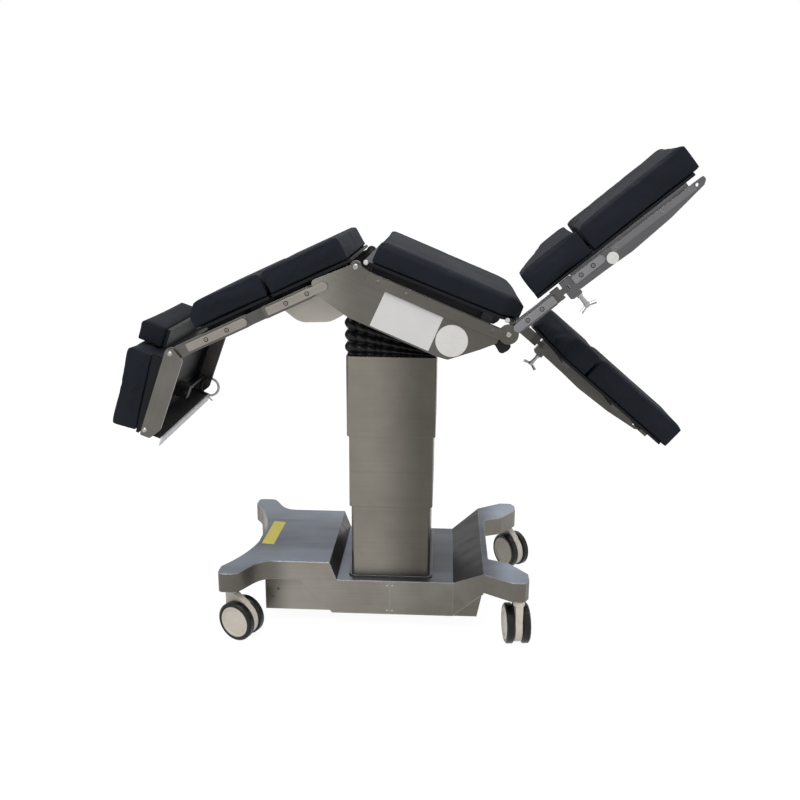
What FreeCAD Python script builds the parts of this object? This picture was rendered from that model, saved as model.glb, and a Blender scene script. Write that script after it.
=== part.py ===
"""Operating table: castor base, three-stage column, tilting seat, back, head and two leg sections.

Units are millimetres. +X points to the foot end, +Z is up, and the table is symmetric about Y = 0
apart from the pose of its legs and castors. The floor is Z = 0. Pieces of a jointed section are
drawn lying flat, in that section's own frame, and are then turned about its pivot to their rest angle.
A positive angle lowers the foot end of a section.
"""
import FreeCAD, Part
import math
import os

os.makedirs("parts", exist_ok=True)
V = FreeCAD.Vector

# Whole object
COLUMN_X = -51.8          # column axis, measured from the middle of the overall length
CLEAR = 0.4               # gap between flat faces of different moving bodies
RUN_FIT = 0.05            # radial clearance of a pin that turns in its bore
SHEET = 3.0               # wall of the stainless covers

# Base
BASE_TOP = 222.0
DECK_TOP = 163.0          # low middle part that the column stands on
SKIRT_UNDER = 160.0       # underside of the four pods
BASE_UNDER = 48.0
BASE_HALF = 224.0         # half width of platform and deck
RIDGE_HALF = 281.0        # half width where the foot-end ramp reaches the top
HEAD_END = -527.0
FOOT_END = 431.0
PLATFORM_RIGHT = -192.0
PLATFORM_LEFT = -375.0
DECK_LEFT = -170.0
DECK_RIGHT = 202.0
RIDGE_X = 295.0
HEAD_POD_HALF = 327.0
FOOT_POD_HALF = 338.0
HEAD_SWEEP = 84.0         # depth of the hollow between the head-end pods
POD_ROUND = 16.0
KEEL_IN = 17.0            # the lower body stands in by this much on each side
KEEL_LEFT = -403.0
KEEL_RIGHT = 278.0
KEEL_HALF = BASE_HALF - KEEL_IN

# Welded frame under the covers
CHASSIS_TOP = DECK_TOP - SHEET
BEAM_W = 40.0
RAIL_W = 36.0
ARM_W = 22.0
FOOT_ARM_DROP = 34.0      # the foot-end arms lie this far under the base top
COLUMN_BEAM_RIGHT = 105.0

# Castors
WHEEL_R = 62.5
HUB_R = 49.0
RIM_W = 5.5               # raised rim of the hub discs
TYRE_W = 24.5
HOUSING_W = 22.0
WHEEL_GAP = 1.5           # between the housing and each wheel
TRAIL = 34.0
STEM_R = 11.0
SWIVEL_TOP = 157.0        # underside of the socket that the swivel collar turns under
STEM_L = 24.0
SOCKET_R = 18.0
HEAD_STEM = (-493.0, 285.0)
FOOT_STEM = (402.0, 315.0)
CASTORS = {               # stem side in X and Y, and heading of the trail in degrees
    "head_near": (-1, -1, -25.0),
    "head_far": (-1, 1, 0.0),
    "foot_near": (1, -1, 96.0),
    "foot_far": (1, 1, -55.0),
}

# Column
SLEEVE_X = 251.0          # lowest and innermost sleeve
SLEEVE_Y = 373.0
SLEEVE_STEP = 12.0        # growth of each higher sleeve
SLEEVE_WALL = 4.0
SLEEVE_ROUND = 14.0
STAGE_1_TOP = 401.0       # where the middle sleeve ends
STAGE_2_TOP = 632.0       # where the upper sleeve ends
COLUMN_TOP = 883.0
SLEEVE_LAP = 15.0
TRIM = 9.0
BARREL_R = 46.0           # lifting cylinder; each ram stage is one wall smaller
RAM_WALL = 8.0
RAM_FIT = 0.6
RAM_LAP = 96.0
PLATE = 8.0

# Seat frame
SEAT_ANGLE = 21.5
KNEE_X = 343.0            # knee pivot, from the column axis
KNEE_Z = 973.0
TILT_Z = 1000.0           # cross shaft of the tilt, over the column
BACK_PIVOT_S = -478.0     # back pivot in the seat frame, from the knee
BACK_PIVOT_N = 14.0
PAD_HALF = 284.0
PAD_OVER = 2.0            # the cushions stand out this far beyond the inner face of the plates
PLATE_IN = PAD_HALF - PAD_OVER
PLATE_T = 8.0
PAD_T = 72.0
SEAT_PAD_START = -449.0   # seat cushion, from the knee pivot
SEAT_PAD_END = 26.0
SEAT_BOARD_MORE = 12.0    # board beyond the cushion at the back end
KNEE_CORNER = (62.0, 66.0)
SEAT_PAD_T = 66.0
SEAT_PAD_EDGE = 10.0
LEG_PAD_T = 78.0
BOARD_T = 8.0
BOARD_IN = 3.0            # board edge lies this far inside the pad edge
BOARD_N = 18.0            # underside of the boards over the back pivot
RAIL_T = 10.0
RAIL_H = 30.0
PIN_R = 8.0
PIN_HEAD_R = 6.8
PIN_HEAD_T = 3.0
EYE_R = 17.0

# Side bars of the back and of the legs
ARM_T = 10.0
BAR_H = 37.0
BAR_DROP = 12.0           # bar centre line below the pivot of the back
CAP_H = 24.0
CAP_T = 6.0
BAR_SCREW_R = 4.5

# Back section, lengths measured from its pivot towards the head
BACK_ANGLE = -24.7
LOBE_REACH = 139.0
LOWER_BAR_END = 298.0
LOWER_PAD_END = 264.0
COUPLING_END = 352.0
UPPER_BAR_END = 600.0
UPPER_PAD_END = 512.0
PAD_BEVEL = 30.0
HEAD_PIVOT = (608.0, 7.0)
BACK_PAD_START = 5.0

# Head section
HEAD_ANGLE = -69.0
HEAD_PLATE_L = 270.0
HEAD_PAD_L = 258.0
HEAD_PAD_START = 22.0
HEAD_PAD_TUCK = 9.0       # the cushion's end face leans in by this much at its base
HEAD_RIVET = (252.0, 1.0)
HEAD_BOX_N = 17.5
HEAD_PAD_IN = (50.0, 26.0)      # inner face of the cushion, at its start and at its end
HEAD_PAD_OUT = (128.0, 104.0)   # outer face
HEAD_PAD_HALF = PAD_HALF
TONGUE_END = 47.0
TONGUE_HALF = HEAD_PAD_HALF - 84.0
HOOP_R = 32.0

# Leg sections, lengths measured from the knee
LEG_NEAR_ANGLE = -39.9
LEG_FAR_ANGLE = 40.3
KNEE_ROUND = 29.0
ARM_END = 162.0
SPLAY_S = 208.0
LEG_PAD_START = 124.0
LEG_SPLIT = 326.0
LEG_PAD_END = 692.0
LEG_PLATE_TIP = 677.0
LEG_PAD_N = 35.0
LEG_GAP = 3.0             # pad edge to the middle plane
CUT_OUT = (104.0, 200.0)  # hollow at the inner corner: length, and width left beside it
TIP_HOLE_R = 5.0
TIP_HOLE_S = 650.0
STRIP_START = 366.0       # raised strip along the upper edge of the plate
STRIP_END = TIP_HOLE_S - 9.0
STRIP_T = 1.8


def box(x0, x1, y0, y1, z0, z1):
    """Block between two corners."""
    return Part.makeBox(x1 - x0, y1 - y0, z1 - z0, V(x0, y0, z0))


def rod(start, end, radius):
    """Round bar between two points."""
    axis = end - start
    return Part.makeCylinder(radius, axis.Length, start, axis)


def many_sided_rod(start, end, radius, sides, end_radius=None):
    """Straight bar of a regular many-sided section, which may narrow towards its end."""
    axis = (end - start).normalize()
    side = axis.cross(V(0.31, 0.17, 0.93)).normalize()
    other = axis.cross(side)
    rings = []
    for point, size in ((start, radius), (end, end_radius or radius)):
        rings.append([point + (side * math.cos(2 * math.pi * i / sides)
                               + other * math.sin(2 * math.pi * i / sides)) * size for i in range(sides)])
    walls = [[rings[0][i], rings[0][i - 1], rings[1][i - 1], rings[1][i]] for i in range(sides)]
    faces = [Part.Face(Part.makePolygon(corners + corners[:1])) for corners in walls + rings]
    return Part.makeSolid(Part.makeShell(faces))


def rounded_wire(corners):
    """Closed outline through corners (point, radius), each corner rounded by a tangent arc."""
    edges = []
    count = len(corners)
    starts = []
    ends = []
    arcs = []
    for i in range(count):
        point, radius = corners[i]
        back = (corners[i - 1][0] - point).normalize()
        ahead = (corners[(i + 1) % count][0] - point).normalize()
        if radius <= 0:
            starts.append(point)
            ends.append(point)
            arcs.append(None)
            continue
        half = back.getAngle(ahead) / 2
        reach = radius / math.tan(half)
        bisector = (back + ahead).normalize()
        middle = point + bisector * (radius / math.sin(half) - radius)
        starts.append(point + back * reach)
        ends.append(point + ahead * reach)
        arcs.append(middle)
    for i in range(count):
        if arcs[i] is not None:
            edges.append(Part.Arc(starts[i], arcs[i], ends[i]).toShape())
        target = starts[(i + 1) % count]
        if (target - ends[i]).Length > 1e-6:
            edges.append(Part.makeLine(ends[i], target))
    return Part.Wire(edges)


def side_plate(corners, y0, y1):
    """Plate with an XZ outline of (x, z, radius) corners, between two Y values."""
    wire = rounded_wire([(V(x, y0, z), r) for x, z, r in corners])
    return Part.Face(wire).extrude(V(0, y1 - y0, 0))


def plan_plate(corners, z0, z1):
    """Plate with an XY outline of (x, y, radius) corners, between two heights."""
    wire = rounded_wire([(V(x, y, z0), r) for x, y, r in corners])
    return Part.Face(wire).extrude(V(0, 0, z1 - z0))


def round_block(half_x, half_y, radius, z0, z1):
    """Upright block with rounded corners, centred on the column axis."""
    return plan_plate([(-half_x, -half_y, radius), (half_x, -half_y, radius),
                       (half_x, half_y, radius), (-half_x, half_y, radius)], z0, z1)


def mirror(shape):
    """The same piece on the other side of the table."""
    return shape.mirror(V(0, 0, 0), V(0, 1, 0))


def both(shape):
    """A piece and its mirror image, as separate solids."""
    return Part.makeCompound([shape, mirror(shape)])


def fuse(*shapes):
    """One clean solid from several."""
    return shapes[0].fuse(list(shapes[1:])).removeSplitter()


def turned(shape, angle, origin):
    """A flat-drawn piece turned to its angle, with its frame's origin at a world point."""
    placed = shape.copy()
    placed.rotate(V(0, 0, 0), V(0, 1, 0), angle)
    placed.translate(origin)
    return placed


def point_in(frame, s, n):
    """World point of a section's own length s and height n."""
    angle, origin = frame
    rad = math.radians(angle)
    return V(origin.x + s * math.cos(rad) + n * math.sin(rad), 0,
             origin.z - s * math.sin(rad) + n * math.cos(rad))


SEAT = (SEAT_ANGLE, V(KNEE_X, 0, KNEE_Z))
BACK = (BACK_ANGLE, point_in(SEAT, BACK_PIVOT_S, BACK_PIVOT_N))
HEAD = (HEAD_ANGLE, point_in(BACK, -HEAD_PIVOT[0], -HEAD_PIVOT[1]))
LEG_NEAR = (LEG_NEAR_ANGLE, SEAT[1])
LEG_FAR = (LEG_FAR_ANGLE, SEAT[1])

PLATE_OUT = PLATE_IN + PLATE_T
ARM_OUT = PLATE_IN - 2.0
ARM_IN = ARM_OUT - ARM_T
CAP_IN = PLATE_OUT + 1.0
CAP_OUT = CAP_IN + CAP_T
SEAT_BOARD_N = BACK_PIVOT_N + BOARD_N
SEAT_PAD_N = SEAT_BOARD_N + BOARD_T


def seat_coordinates(x, z):
    """Length and height in the seat frame of a world point."""
    rad = math.radians(SEAT_ANGLE)
    dx = x - KNEE_X
    dz = z - KNEE_Z
    return dx * math.cos(rad) - dz * math.sin(rad), dx * math.sin(rad) + dz * math.cos(rad)


TILT_S, TILT_N = seat_coordinates(0.0, TILT_Z)


# Base covers

def platform_plan(inset, z0, z1):
    """Plan of the head-end platform with its two pods and the swept hollows between them."""
    tip_x = HEAD_END + inset
    tip_y = HEAD_POD_HALF - inset
    side_y = BASE_HALF - inset
    right = PLATFORM_RIGHT - inset * 0.4
    pod_right = HEAD_END + 46.0 - inset
    hollow_x = HEAD_END + HEAD_SWEEP + inset
    shoulder_y = HEAD_POD_HALF - 55.0
    waist_x = PLATFORM_LEFT + 6.0
    edges = []
    near = [V(tip_x, -shoulder_y, z0), V(tip_x, -tip_y + POD_ROUND, z0),
            V(tip_x + POD_ROUND, -tip_y, z0), V(pod_right, -tip_y, z0),
            V(waist_x, -side_y, z0), V(right, -side_y, z0)]
    corner = near[1] + V(POD_ROUND * (1 - math.sqrt(0.5)), -POD_ROUND * math.sqrt(0.5), 0)
    edges.append(Part.makeLine(near[0], near[1]))
    edges.append(Part.Arc(near[1], corner, near[2]).toShape())
    edges.append(Part.makeLine(near[2], near[3]))
    edges.append(sweep(near[3], near[4]))
    edges.append(Part.makeLine(near[4], near[5]))
    far = [V(p.x, -p.y, z0) for p in near]
    far_corner = V(corner.x, -corner.y, z0)
    edges.append(Part.makeLine(near[5], far[5]))
    edges.append(Part.makeLine(far[5], far[4]))
    edges.append(sweep(far[3], far[4]))
    edges.append(Part.makeLine(far[3], far[2]))
    edges.append(Part.Arc(far[2], far_corner, far[1]).toShape())
    edges.append(Part.makeLine(far[1], far[0]))
    edges.append(Part.Arc(far[0], V(hollow_x, 0, z0), near[0]).toShape())
    wire = Part.Wire(Part.__sortEdges__(edges))
    return Part.Face(wire).extrude(V(0, 0, z1 - z0))


def sweep(start, end):
    """S-shaped side that leaves both ends along X."""
    reach = (end.x - start.x) * 0.5
    curve = Part.BezierCurve()
    curve.setPoles([start, start + V(reach * 0.7, 0, 0), end - V(reach * 1.3, 0, 0), end])
    return curve.toShape()


def slab_section(x, half, z0, z1):
    """Rectangle across the table at one X."""
    corners = [V(x, -half, z0), V(x, half, z0), V(x, half, z1), V(x, -half, z1), V(x, -half, z0)]
    return Part.makePolygon(corners)


def foot_pods_plan(inset, z0, z1):
    """Plan of the two foot-end pods and the wall between them."""
    ridge = RIDGE_X - 1.0
    outer = FOOT_POD_HALF - inset
    near = [(ridge, -(RIDGE_HALF - inset), 0), (RIDGE_X + 84.0, -outer, 8),
            (FOOT_END - 14.0, -outer, 10), (FOOT_END - inset, -outer + 24.0, 8),
            (FOOT_END - inset, -outer + 68.0, 6), (RIDGE_X + 79.0 - inset, -(192.0 + inset), 26),
            (RIDGE_X + 17.0 - inset, -(166.0 + inset), 8)]
    far = [(x, -y, r) for x, y, r in reversed(near)]
    return plan_plate(near + far, z0, z1)


def platform_form(inset):
    """Solid form of the head-end platform down to the deck level."""
    slab = platform_plan(inset, SKIRT_UNDER, BASE_TOP - inset)
    flank = side_plate([(PLATFORM_RIGHT - 92.0 + inset, SKIRT_UNDER - 8.0, 0),
                        (PLATFORM_RIGHT - 92.0 + inset, BASE_TOP - inset, 0),
                        (PLATFORM_RIGHT - inset * 0.4, BASE_TOP - inset, 0),
                        (DECK_LEFT - inset * 0.4, DECK_TOP - inset, 0),
                        (DECK_LEFT + 2.0, DECK_TOP - inset, 0),
                        (DECK_LEFT + 2.0, BASE_UNDER, 0),
                        (DECK_LEFT - 15.0, BASE_UNDER, 0)],
                       -(BASE_HALF - inset), BASE_HALF - inset)
    keel = box(KEEL_LEFT + inset, DECK_LEFT, -(KEEL_HALF - inset), KEEL_HALF - inset,
               BASE_UNDER, SKIRT_UNDER + 2.0)
    return fuse(slab, flank, keel)


def deck_form(inset, x0, x1):
    """Solid form of the low middle part."""
    return box(x0, x1, -(BASE_HALF - inset), BASE_HALF - inset, BASE_UNDER, DECK_TOP - inset)


def ramp_form(inset):
    """Solid form of the foot-end ramp, its keel and pods."""
    low = slab_section(DECK_RIGHT - 1.0 + inset * 0.4, BASE_HALF - inset, BASE_UNDER, DECK_TOP - inset)
    high = slab_section(RIDGE_X + inset * 0.4, RIDGE_HALF - inset, SKIRT_UNDER - 5.0,
                        BASE_TOP - inset)
    ramp = Part.makeLoft([low, high], True, True)
    pods = foot_pods_plan(inset, SKIRT_UNDER, BASE_TOP - inset)
    keel = side_plate([(DECK_RIGHT - 6.0, BASE_UNDER, 0), (KEEL_RIGHT - inset, BASE_UNDER, 0),
                       (RIDGE_X + 5.0 - inset, SKIRT_UNDER + 1.0, 0),
                       (DECK_RIGHT - 6.0, SKIRT_UNDER + 1.0, 0)],
                      -(BASE_HALF - 2.0 - inset), BASE_HALF - 2.0 - inset)
    return fuse(ramp, pods, keel)


def open_under(form):
    """Clears the space right under a form, so that the shell is open at its underside."""
    return form.fuse([face.extrude(V(0, 0, -1.0)) for face in form.Faces
                      if face.normalAt(0.5, 0.5).z < -0.99])


def head_end_cover():
    """Sheet cover of the platform and of the deck up to the seam."""
    outer = fuse(platform_form(0.0), deck_form(0.0, DECK_LEFT + 1.0, 0.0))
    inner = fuse(platform_form(SHEET), deck_form(SHEET, DECK_LEFT + 1.0, 1.0))
    shell = outer.cut(open_under(inner))
    return shell.cut(column_opening()).removeSplitter()


def foot_end_cover():
    """Sheet cover of the ramp, the foot-end pods and the deck from the seam."""
    outer = fuse(ramp_form(0.0), deck_form(0.0, 0.0, DECK_RIGHT))
    inner = fuse(ramp_form(SHEET), deck_form(SHEET, -1.0, DECK_RIGHT))
    shell = outer.cut(open_under(inner))
    return shell.cut(column_opening()).removeSplitter()


def column_opening():
    """Hole in the deck that the lowest sleeve passes through."""
    return round_block(SLEEVE_X / 2, SLEEVE_Y / 2, SLEEVE_ROUND, DECK_TOP - 2 * SHEET, DECK_TOP + 1)


def cover_screws():
    """Two rows of countersunk screw heads beside the seam, on each side of the base."""
    heads = []
    for side in (-1, 1):
        for dx in (-8.0, 8.0):
            for z in (BASE_UNDER + 14.0, DECK_TOP - 14.0):
                start = V(dx, side * (BASE_HALF - SHEET), z)
                end = V(dx, side * (BASE_HALF + 0.8), z)
                heads.append(many_sided_rod(start, end, 3.2, 10))
    return Part.makeCompound(heads)


def drilled(cover):
    """Cover with the holes of its screws."""
    return cover.cut(cover_screws())


# Base inside

def stem_points():
    """Axis point of every castor stem."""
    points = {}
    for name, (sx, sy, heading) in CASTORS.items():
        x, y = HEAD_STEM if sx < 0 else FOOT_STEM
        points[name] = V(x, sy * y, 0)
    return points


def chassis():
    """Welded frame inside the covers: two rails, cross beams, castor arms and sockets, column seat."""
    inner = KEEL_HALF - SHEET
    low = BASE_UNDER + 6.0
    arm_top = BASE_TOP - SHEET
    foot_arm_top = BASE_TOP - FOOT_ARM_DROP
    rail = box(KEEL_LEFT + 30.0, KEEL_RIGHT - 20.0, inner - RAIL_W, inner, low, CHASSIS_TOP)
    pieces = [rail, mirror(rail)]
    for x in (KEEL_LEFT + 30.0, DECK_LEFT + 20.0, COLUMN_BEAM_RIGHT, KEEL_RIGHT - 60.0):
        pieces.append(box(x, x + BEAM_W, -inner, inner, low, CHASSIS_TOP))
    pieces.append(box(DECK_LEFT + 20.0, COLUMN_BEAM_RIGHT, -60.0, 60.0, CHASSIS_TOP - 14.0, CHASSIS_TOP))
    for side in (-1, 1):
        y0, y1 = sorted((side * (inner - RAIL_W), side * inner))
        pieces.append(box(KEEL_LEFT + 30.0, KEEL_LEFT + 30.0 + BEAM_W, y0, y1, CHASSIS_TOP, arm_top))
        pieces.append(box(KEEL_RIGHT - 24.0, KEEL_RIGHT - 4.0, y0, y1, CHASSIS_TOP - 60.0, foot_arm_top))
        head = V(HEAD_STEM[0], side * HEAD_STEM[1], 0)
        foot = V(FOOT_STEM[0], side * FOOT_STEM[1], 0)
        start = V(KEEL_LEFT + 44.0, side * (inner - RAIL_W * 0.8), 0)
        pieces.append(side_beam(start, head, ARM_W, SKIRT_UNDER + 2.0, arm_top))
        start = V(KEEL_RIGHT - 14.0, side * (inner - RAIL_W / 2), 0)
        pieces.append(side_beam(start, foot, ARM_W, SKIRT_UNDER + 2.0, foot_arm_top))
    body = fuse(*pieces)
    for point in stem_points().values():
        top = V(point.x, point.y, foot_arm_top)
        body = body.fuse(rod(V(point.x, point.y, SWIVEL_TOP), top, SOCKET_R))
    for point in stem_points().values():
        hole_top = V(point.x, point.y, SWIVEL_TOP + STEM_L + 1.0)
        body = body.cut(rod(V(point.x, point.y, SWIVEL_TOP - 1), hole_top, STEM_R + RUN_FIT))
    body = body.fuse(lift_cylinder())
    return body.cut(rod(V(0, 0, 0), V(0, 0, STAGE_2_TOP), BARREL_R - RAM_WALL + RAM_FIT)).removeSplitter()


def side_beam(start, end, width, z0, z1):
    """Upright slab from one plan point to another."""
    along = (end - start).normalize()
    across = V(-along.y, along.x, 0) * (width / 2)
    base = V(0, 0, z0)
    corners = [start - across + base, end - across + base, end + across + base, start + across + base]
    wire = Part.makePolygon(corners + corners[:1])
    return Part.Face(wire).extrude(V(0, 0, z1 - z0))


def power_unit():
    """Oil tank with its pump motor, under the platform."""
    left = KEEL_LEFT + 84.0
    tank = box(left, left + 120.0, -120.0, 60.0, BASE_UNDER + 12.0, DECK_TOP - 20.0)
    motor_end = KEEL_HALF - SHEET - RAIL_W - 10.0
    motor = many_sided_rod(V(left + 60.0, 60.0, 105.0), V(left + 60.0, motor_end, 105.0), 38.0, 20)
    feet = box(KEEL_LEFT + 30.0 + BEAM_W, DECK_LEFT + 20.0, -60.0, 0.0, BASE_UNDER + 6.0, BASE_UNDER + 12.0)
    return fuse(tank, motor, feet)


# Castors

def castor(name):
    """Housing, tyres and hub discs of one castor, standing under its stem."""
    point = stem_points()[name]
    heading = CASTORS[name][2]
    pieces = castor_housing(), castor_tyres(), castor_discs()
    placed = []
    for piece in pieces:
        shape = piece.copy()
        shape.rotate(V(0, 0, 0), V(0, 0, 1), heading)
        shape.translate(point)
        placed.append(shape)
    return placed


def castor_housing():
    """Middle web between the wheels, swivel collar and stem; the trail points along +X."""
    half = HOUSING_W / 2
    axle = V(TRAIL, 0, WHEEL_R)
    web = rod(axle - V(0, half, 0), axle + V(0, half, 0), WHEEL_R - 6.0)
    neck = side_plate([(-17.0, SWIVEL_TOP - 14.0, 4), (-17.0, WHEEL_R + 6.0, 10),
                       (TRAIL + 20.0, WHEEL_R + 6.0, 0), (TRAIL + 30.0, WHEEL_R + 52.0, 12),
                       (19.0, SWIVEL_TOP - 14.0, 4)], -half, half)
    collar = rod(V(0, 0, SWIVEL_TOP - 16.0), V(0, 0, SWIVEL_TOP - CLEAR), SOCKET_R)
    stem = rod(V(0, 0, SWIVEL_TOP - 16.0), V(0, 0, SWIVEL_TOP + STEM_L), STEM_R)
    bore = rod(axle - V(0, half + 1, 0), axle + V(0, half + 1, 0), 6.0 + RUN_FIT)
    body = fuse(web, neck, collar, stem)
    return body.cut(bore)


def tyre_ring(sign):
    """Tyre on one side of the housing, with bevelled shoulders."""
    inner = HOUSING_W / 2 + WHEEL_GAP
    outer = inner + TYRE_W
    shape = [(inner, HUB_R), (inner, WHEEL_R - 5.0), (inner + 4.0, WHEEL_R), (outer - 4.0, WHEEL_R),
             (outer, WHEEL_R - 5.0), (outer, HUB_R)]
    corners = [V(TRAIL, sign * y, WHEEL_R + r) for y, r in shape]
    profile = Part.Face(Part.makePolygon(corners + corners[:1]))
    return profile.revolve(V(TRAIL, 0, WHEEL_R), V(0, 1, 0), 360)


def castor_tyres():
    """The two tyres of a castor."""
    return Part.makeCompound([tyre_ring(-1), tyre_ring(1)])


def castor_discs():
    """Both hubs, each with a raised rim round a flat middle, joined by the axle."""
    inner = HOUSING_W / 2 + WHEEL_GAP
    axle = V(TRAIL, 0, WHEEL_R)
    hubs = []
    rim = inner + TYRE_W
    shape = [(inner, 0.0), (inner, HUB_R), (rim, HUB_R), (rim, HUB_R - RIM_W), (rim - 3.0, HUB_R - RIM_W - 2.5),
             (rim - 2.0, 0.0)]
    for side in (-1, 1):
        corners = [axle + V(0, side * y, r) for y, r in shape]
        profile = Part.Face(Part.makePolygon(corners + corners[:1]))
        hubs.append(profile.revolve(axle, V(0, 1, 0), 360))
    spindle = rod(axle - V(0, inner + 1, 0), axle + V(0, inner + 1, 0), 6.0)
    return fuse(hubs[0], spindle, hubs[1])


# Column

def sleeve(step, z0, z1):
    """Rectangular sleeve tube; each step is one stage larger."""
    half_x = SLEEVE_X / 2 + step * SLEEVE_STEP / 2
    half_y = SLEEVE_Y / 2 + step * SLEEVE_STEP / 2
    outer = round_block(half_x, half_y, SLEEVE_ROUND, z0, z1)
    inner = round_block(half_x - SLEEVE_WALL, half_y - SLEEVE_WALL, SLEEVE_ROUND - SLEEVE_WALL,
                        z0 - 1, z1 + 1)
    return outer.cut(inner)


def foot_trim():
    """Flat frame that covers the hole in the deck around the lowest sleeve."""
    outer = round_block(SLEEVE_X / 2 + TRIM, SLEEVE_Y / 2 + TRIM, SLEEVE_ROUND + TRIM,
                        DECK_TOP, DECK_TOP + 5.0)
    hole = round_block(SLEEVE_X / 2, SLEEVE_Y / 2, SLEEVE_ROUND, DECK_TOP - 1, DECK_TOP + 6.0)
    return outer.cut(hole)


def lower_sleeve():
    """Innermost sleeve, standing on the chassis beams."""
    return sleeve(0, CHASSIS_TOP, STAGE_1_TOP + SLEEVE_LAP)


def middle_sleeve():
    """Middle sleeve with the cross plate at its top that its ram tube carries."""
    z1 = STAGE_2_TOP + SLEEVE_LAP
    tube = sleeve(1, STAGE_1_TOP, z1)
    half_x = SLEEVE_X / 2 + SLEEVE_STEP / 2 - 1.0
    bridge = box(-half_x, half_x, -BARREL_R, BARREL_R, z1 - PLATE, z1)
    ram = rod(V(0, 0, STAGE_1_TOP - RAM_LAP), V(0, 0, z1), BARREL_R - RAM_WALL)
    bore = rod(V(0, 0, STAGE_1_TOP - RAM_LAP - 1), V(0, 0, z1 + 1), BARREL_R - 2 * RAM_WALL + RAM_FIT)
    return fuse(tube, bridge, ram).cut(bore)


def lift_cylinder():
    """Fixed barrel of the lifting cylinder with its foot flange, not yet bored."""
    barrel = rod(V(0, 0, BASE_UNDER + 8.0), V(0, 0, STAGE_1_TOP + 6.0), BARREL_R)
    flange = rod(V(0, 0, CHASSIS_TOP - 1.0), V(0, 0, CHASSIS_TOP + 10.0), BARREL_R + 12.0)
    return fuse(barrel, flange)


def upper_sleeve():
    """Outermost sleeve, closed by the column head plate, with the last ram stage."""
    tube = sleeve(2, STAGE_2_TOP, COLUMN_TOP)
    half_x = SLEEVE_X / 2 + SLEEVE_STEP - 1.0
    half_y = SLEEVE_Y / 2 + SLEEVE_STEP - 1.0
    plate = round_block(half_x, half_y, SLEEVE_ROUND - 1.0, COLUMN_TOP - PLATE, COLUMN_TOP)
    ram = rod(V(0, 0, STAGE_2_TOP - RAM_LAP), V(0, 0, COLUMN_TOP - 1.0), BARREL_R - 2 * RAM_WALL)
    return fuse(tube, plate, ram)


SHAFT_R = 15.0
EAR_IN = 58.0
EAR_T = 22.0


def tilt_pedestal():
    """Two ears on the column head that carry the cross shaft of the tilt."""
    ears = []
    for side in (-1, 1):
        y0 = side * EAR_IN if side > 0 else -EAR_IN - EAR_T
        ear = side_plate([(-52.0, COLUMN_TOP, 0), (52.0, COLUMN_TOP, 0), (29.0, TILT_Z, 0),
                          (29.0, TILT_Z + 29.0, 28), (-29.0, TILT_Z + 29.0, 28), (-29.0, TILT_Z, 0)],
                         y0, y0 + EAR_T)
        ears.append(ear)
    plate = box(-62.0, 62.0, -EAR_IN - EAR_T - 10.0, EAR_IN + EAR_T + 10.0, COLUMN_TOP, COLUMN_TOP + 8.0)
    bore = rod(V(0, -200, TILT_Z), V(0, 200, TILT_Z), SHAFT_R + RUN_FIT)
    return fuse(plate, *ears).cut(bore)


def bellows():
    """Folded rubber skirt from the column head up to the seat frame, higher at the head end."""
    folds = 5
    rings = []
    low_x = SLEEVE_X / 2 + SLEEVE_STEP
    low_y = SLEEVE_Y / 2 + SLEEVE_STEP
    for i in range(2 * folds + 1):
        share = i / (2 * folds)
        grow = 6.0 if i % 2 else -7.0
        left = COLUMN_TOP + share * 118.0
        right = COLUMN_TOP + share * 14.0
        half_x = low_x + grow
        half_y = low_y - 14.0 + grow
        rings.append(Part.makePolygon([V(-half_x, -half_y, left), V(half_x, -half_y, right),
                                       V(half_x, half_y, right), V(-half_x, half_y, left),
                                       V(-half_x, -half_y, left)]))
    return Part.makeLoft(rings, True, True)


def hollow_bellows():
    """Bellows with the space that the tilt gear stands in."""
    return bellows().cut(box(-105.0, 105.0, -160.0, 160.0, COLUMN_TOP - 1.0, COLUMN_TOP + 200.0))


# Seat section, drawn in the seat frame

def tilt_yoke():
    """Block on the cross shaft, with the lengthwise shaft of the side tilt on top."""
    shaft = rod(V(TILT_S, -EAR_IN - EAR_T - 6.0, TILT_N), V(TILT_S, EAR_IN + EAR_T + 6.0, TILT_N), SHAFT_R)
    block = box(TILT_S - 34.0, TILT_S + 34.0, -EAR_IN + 2.0, EAR_IN - 2.0, TILT_N - 26.0, TILT_N + 54.0)
    length = rod(V(TILT_S - 108.0, 0, TILT_N + 36.0), V(TILT_S + 108.0, 0, TILT_N + 36.0), SHAFT_R)
    return fuse(block, shaft, length)


def cheek_plate():
    """Near cheek plate with the lobe that reaches under the lower back."""
    cheek = side_plate([(-22.0, -37.0, 0), (-59.0, -72.0, 10), (-134.0, -135.0, 16), (-168.0, -138.0, 16),
                        (-446.0, -129.0, 20), (-553.0, -103.0, 8), (-584.0, -72.0, 12),
                        (-480.0, 25.0, 8), (-437.0, 16.0, 6), (-20.0, 8.0, 0)],
                       -PLATE_OUT, -PLATE_IN)
    knee = rod(V(0, -PLATE_OUT, 0), V(0, -PLATE_IN, 0), KNEE_ROUND)
    neck = box(-30.0, 0.0, -PLATE_OUT, -PLATE_IN, -KNEE_ROUND + 6.0, 8.0)
    cheek = fuse(cheek, knee, neck)
    for s, n in ((0.0, 0.0), (BACK_PIVOT_S, BACK_PIVOT_N)):
        cheek = cheek.cut(rod(V(s, -PLATE_OUT - 1, n), V(s, -PLATE_IN + 1, n), PIN_R))
    return cheek


RAIL_START = -437.0
RAIL_END = -22.0


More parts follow.
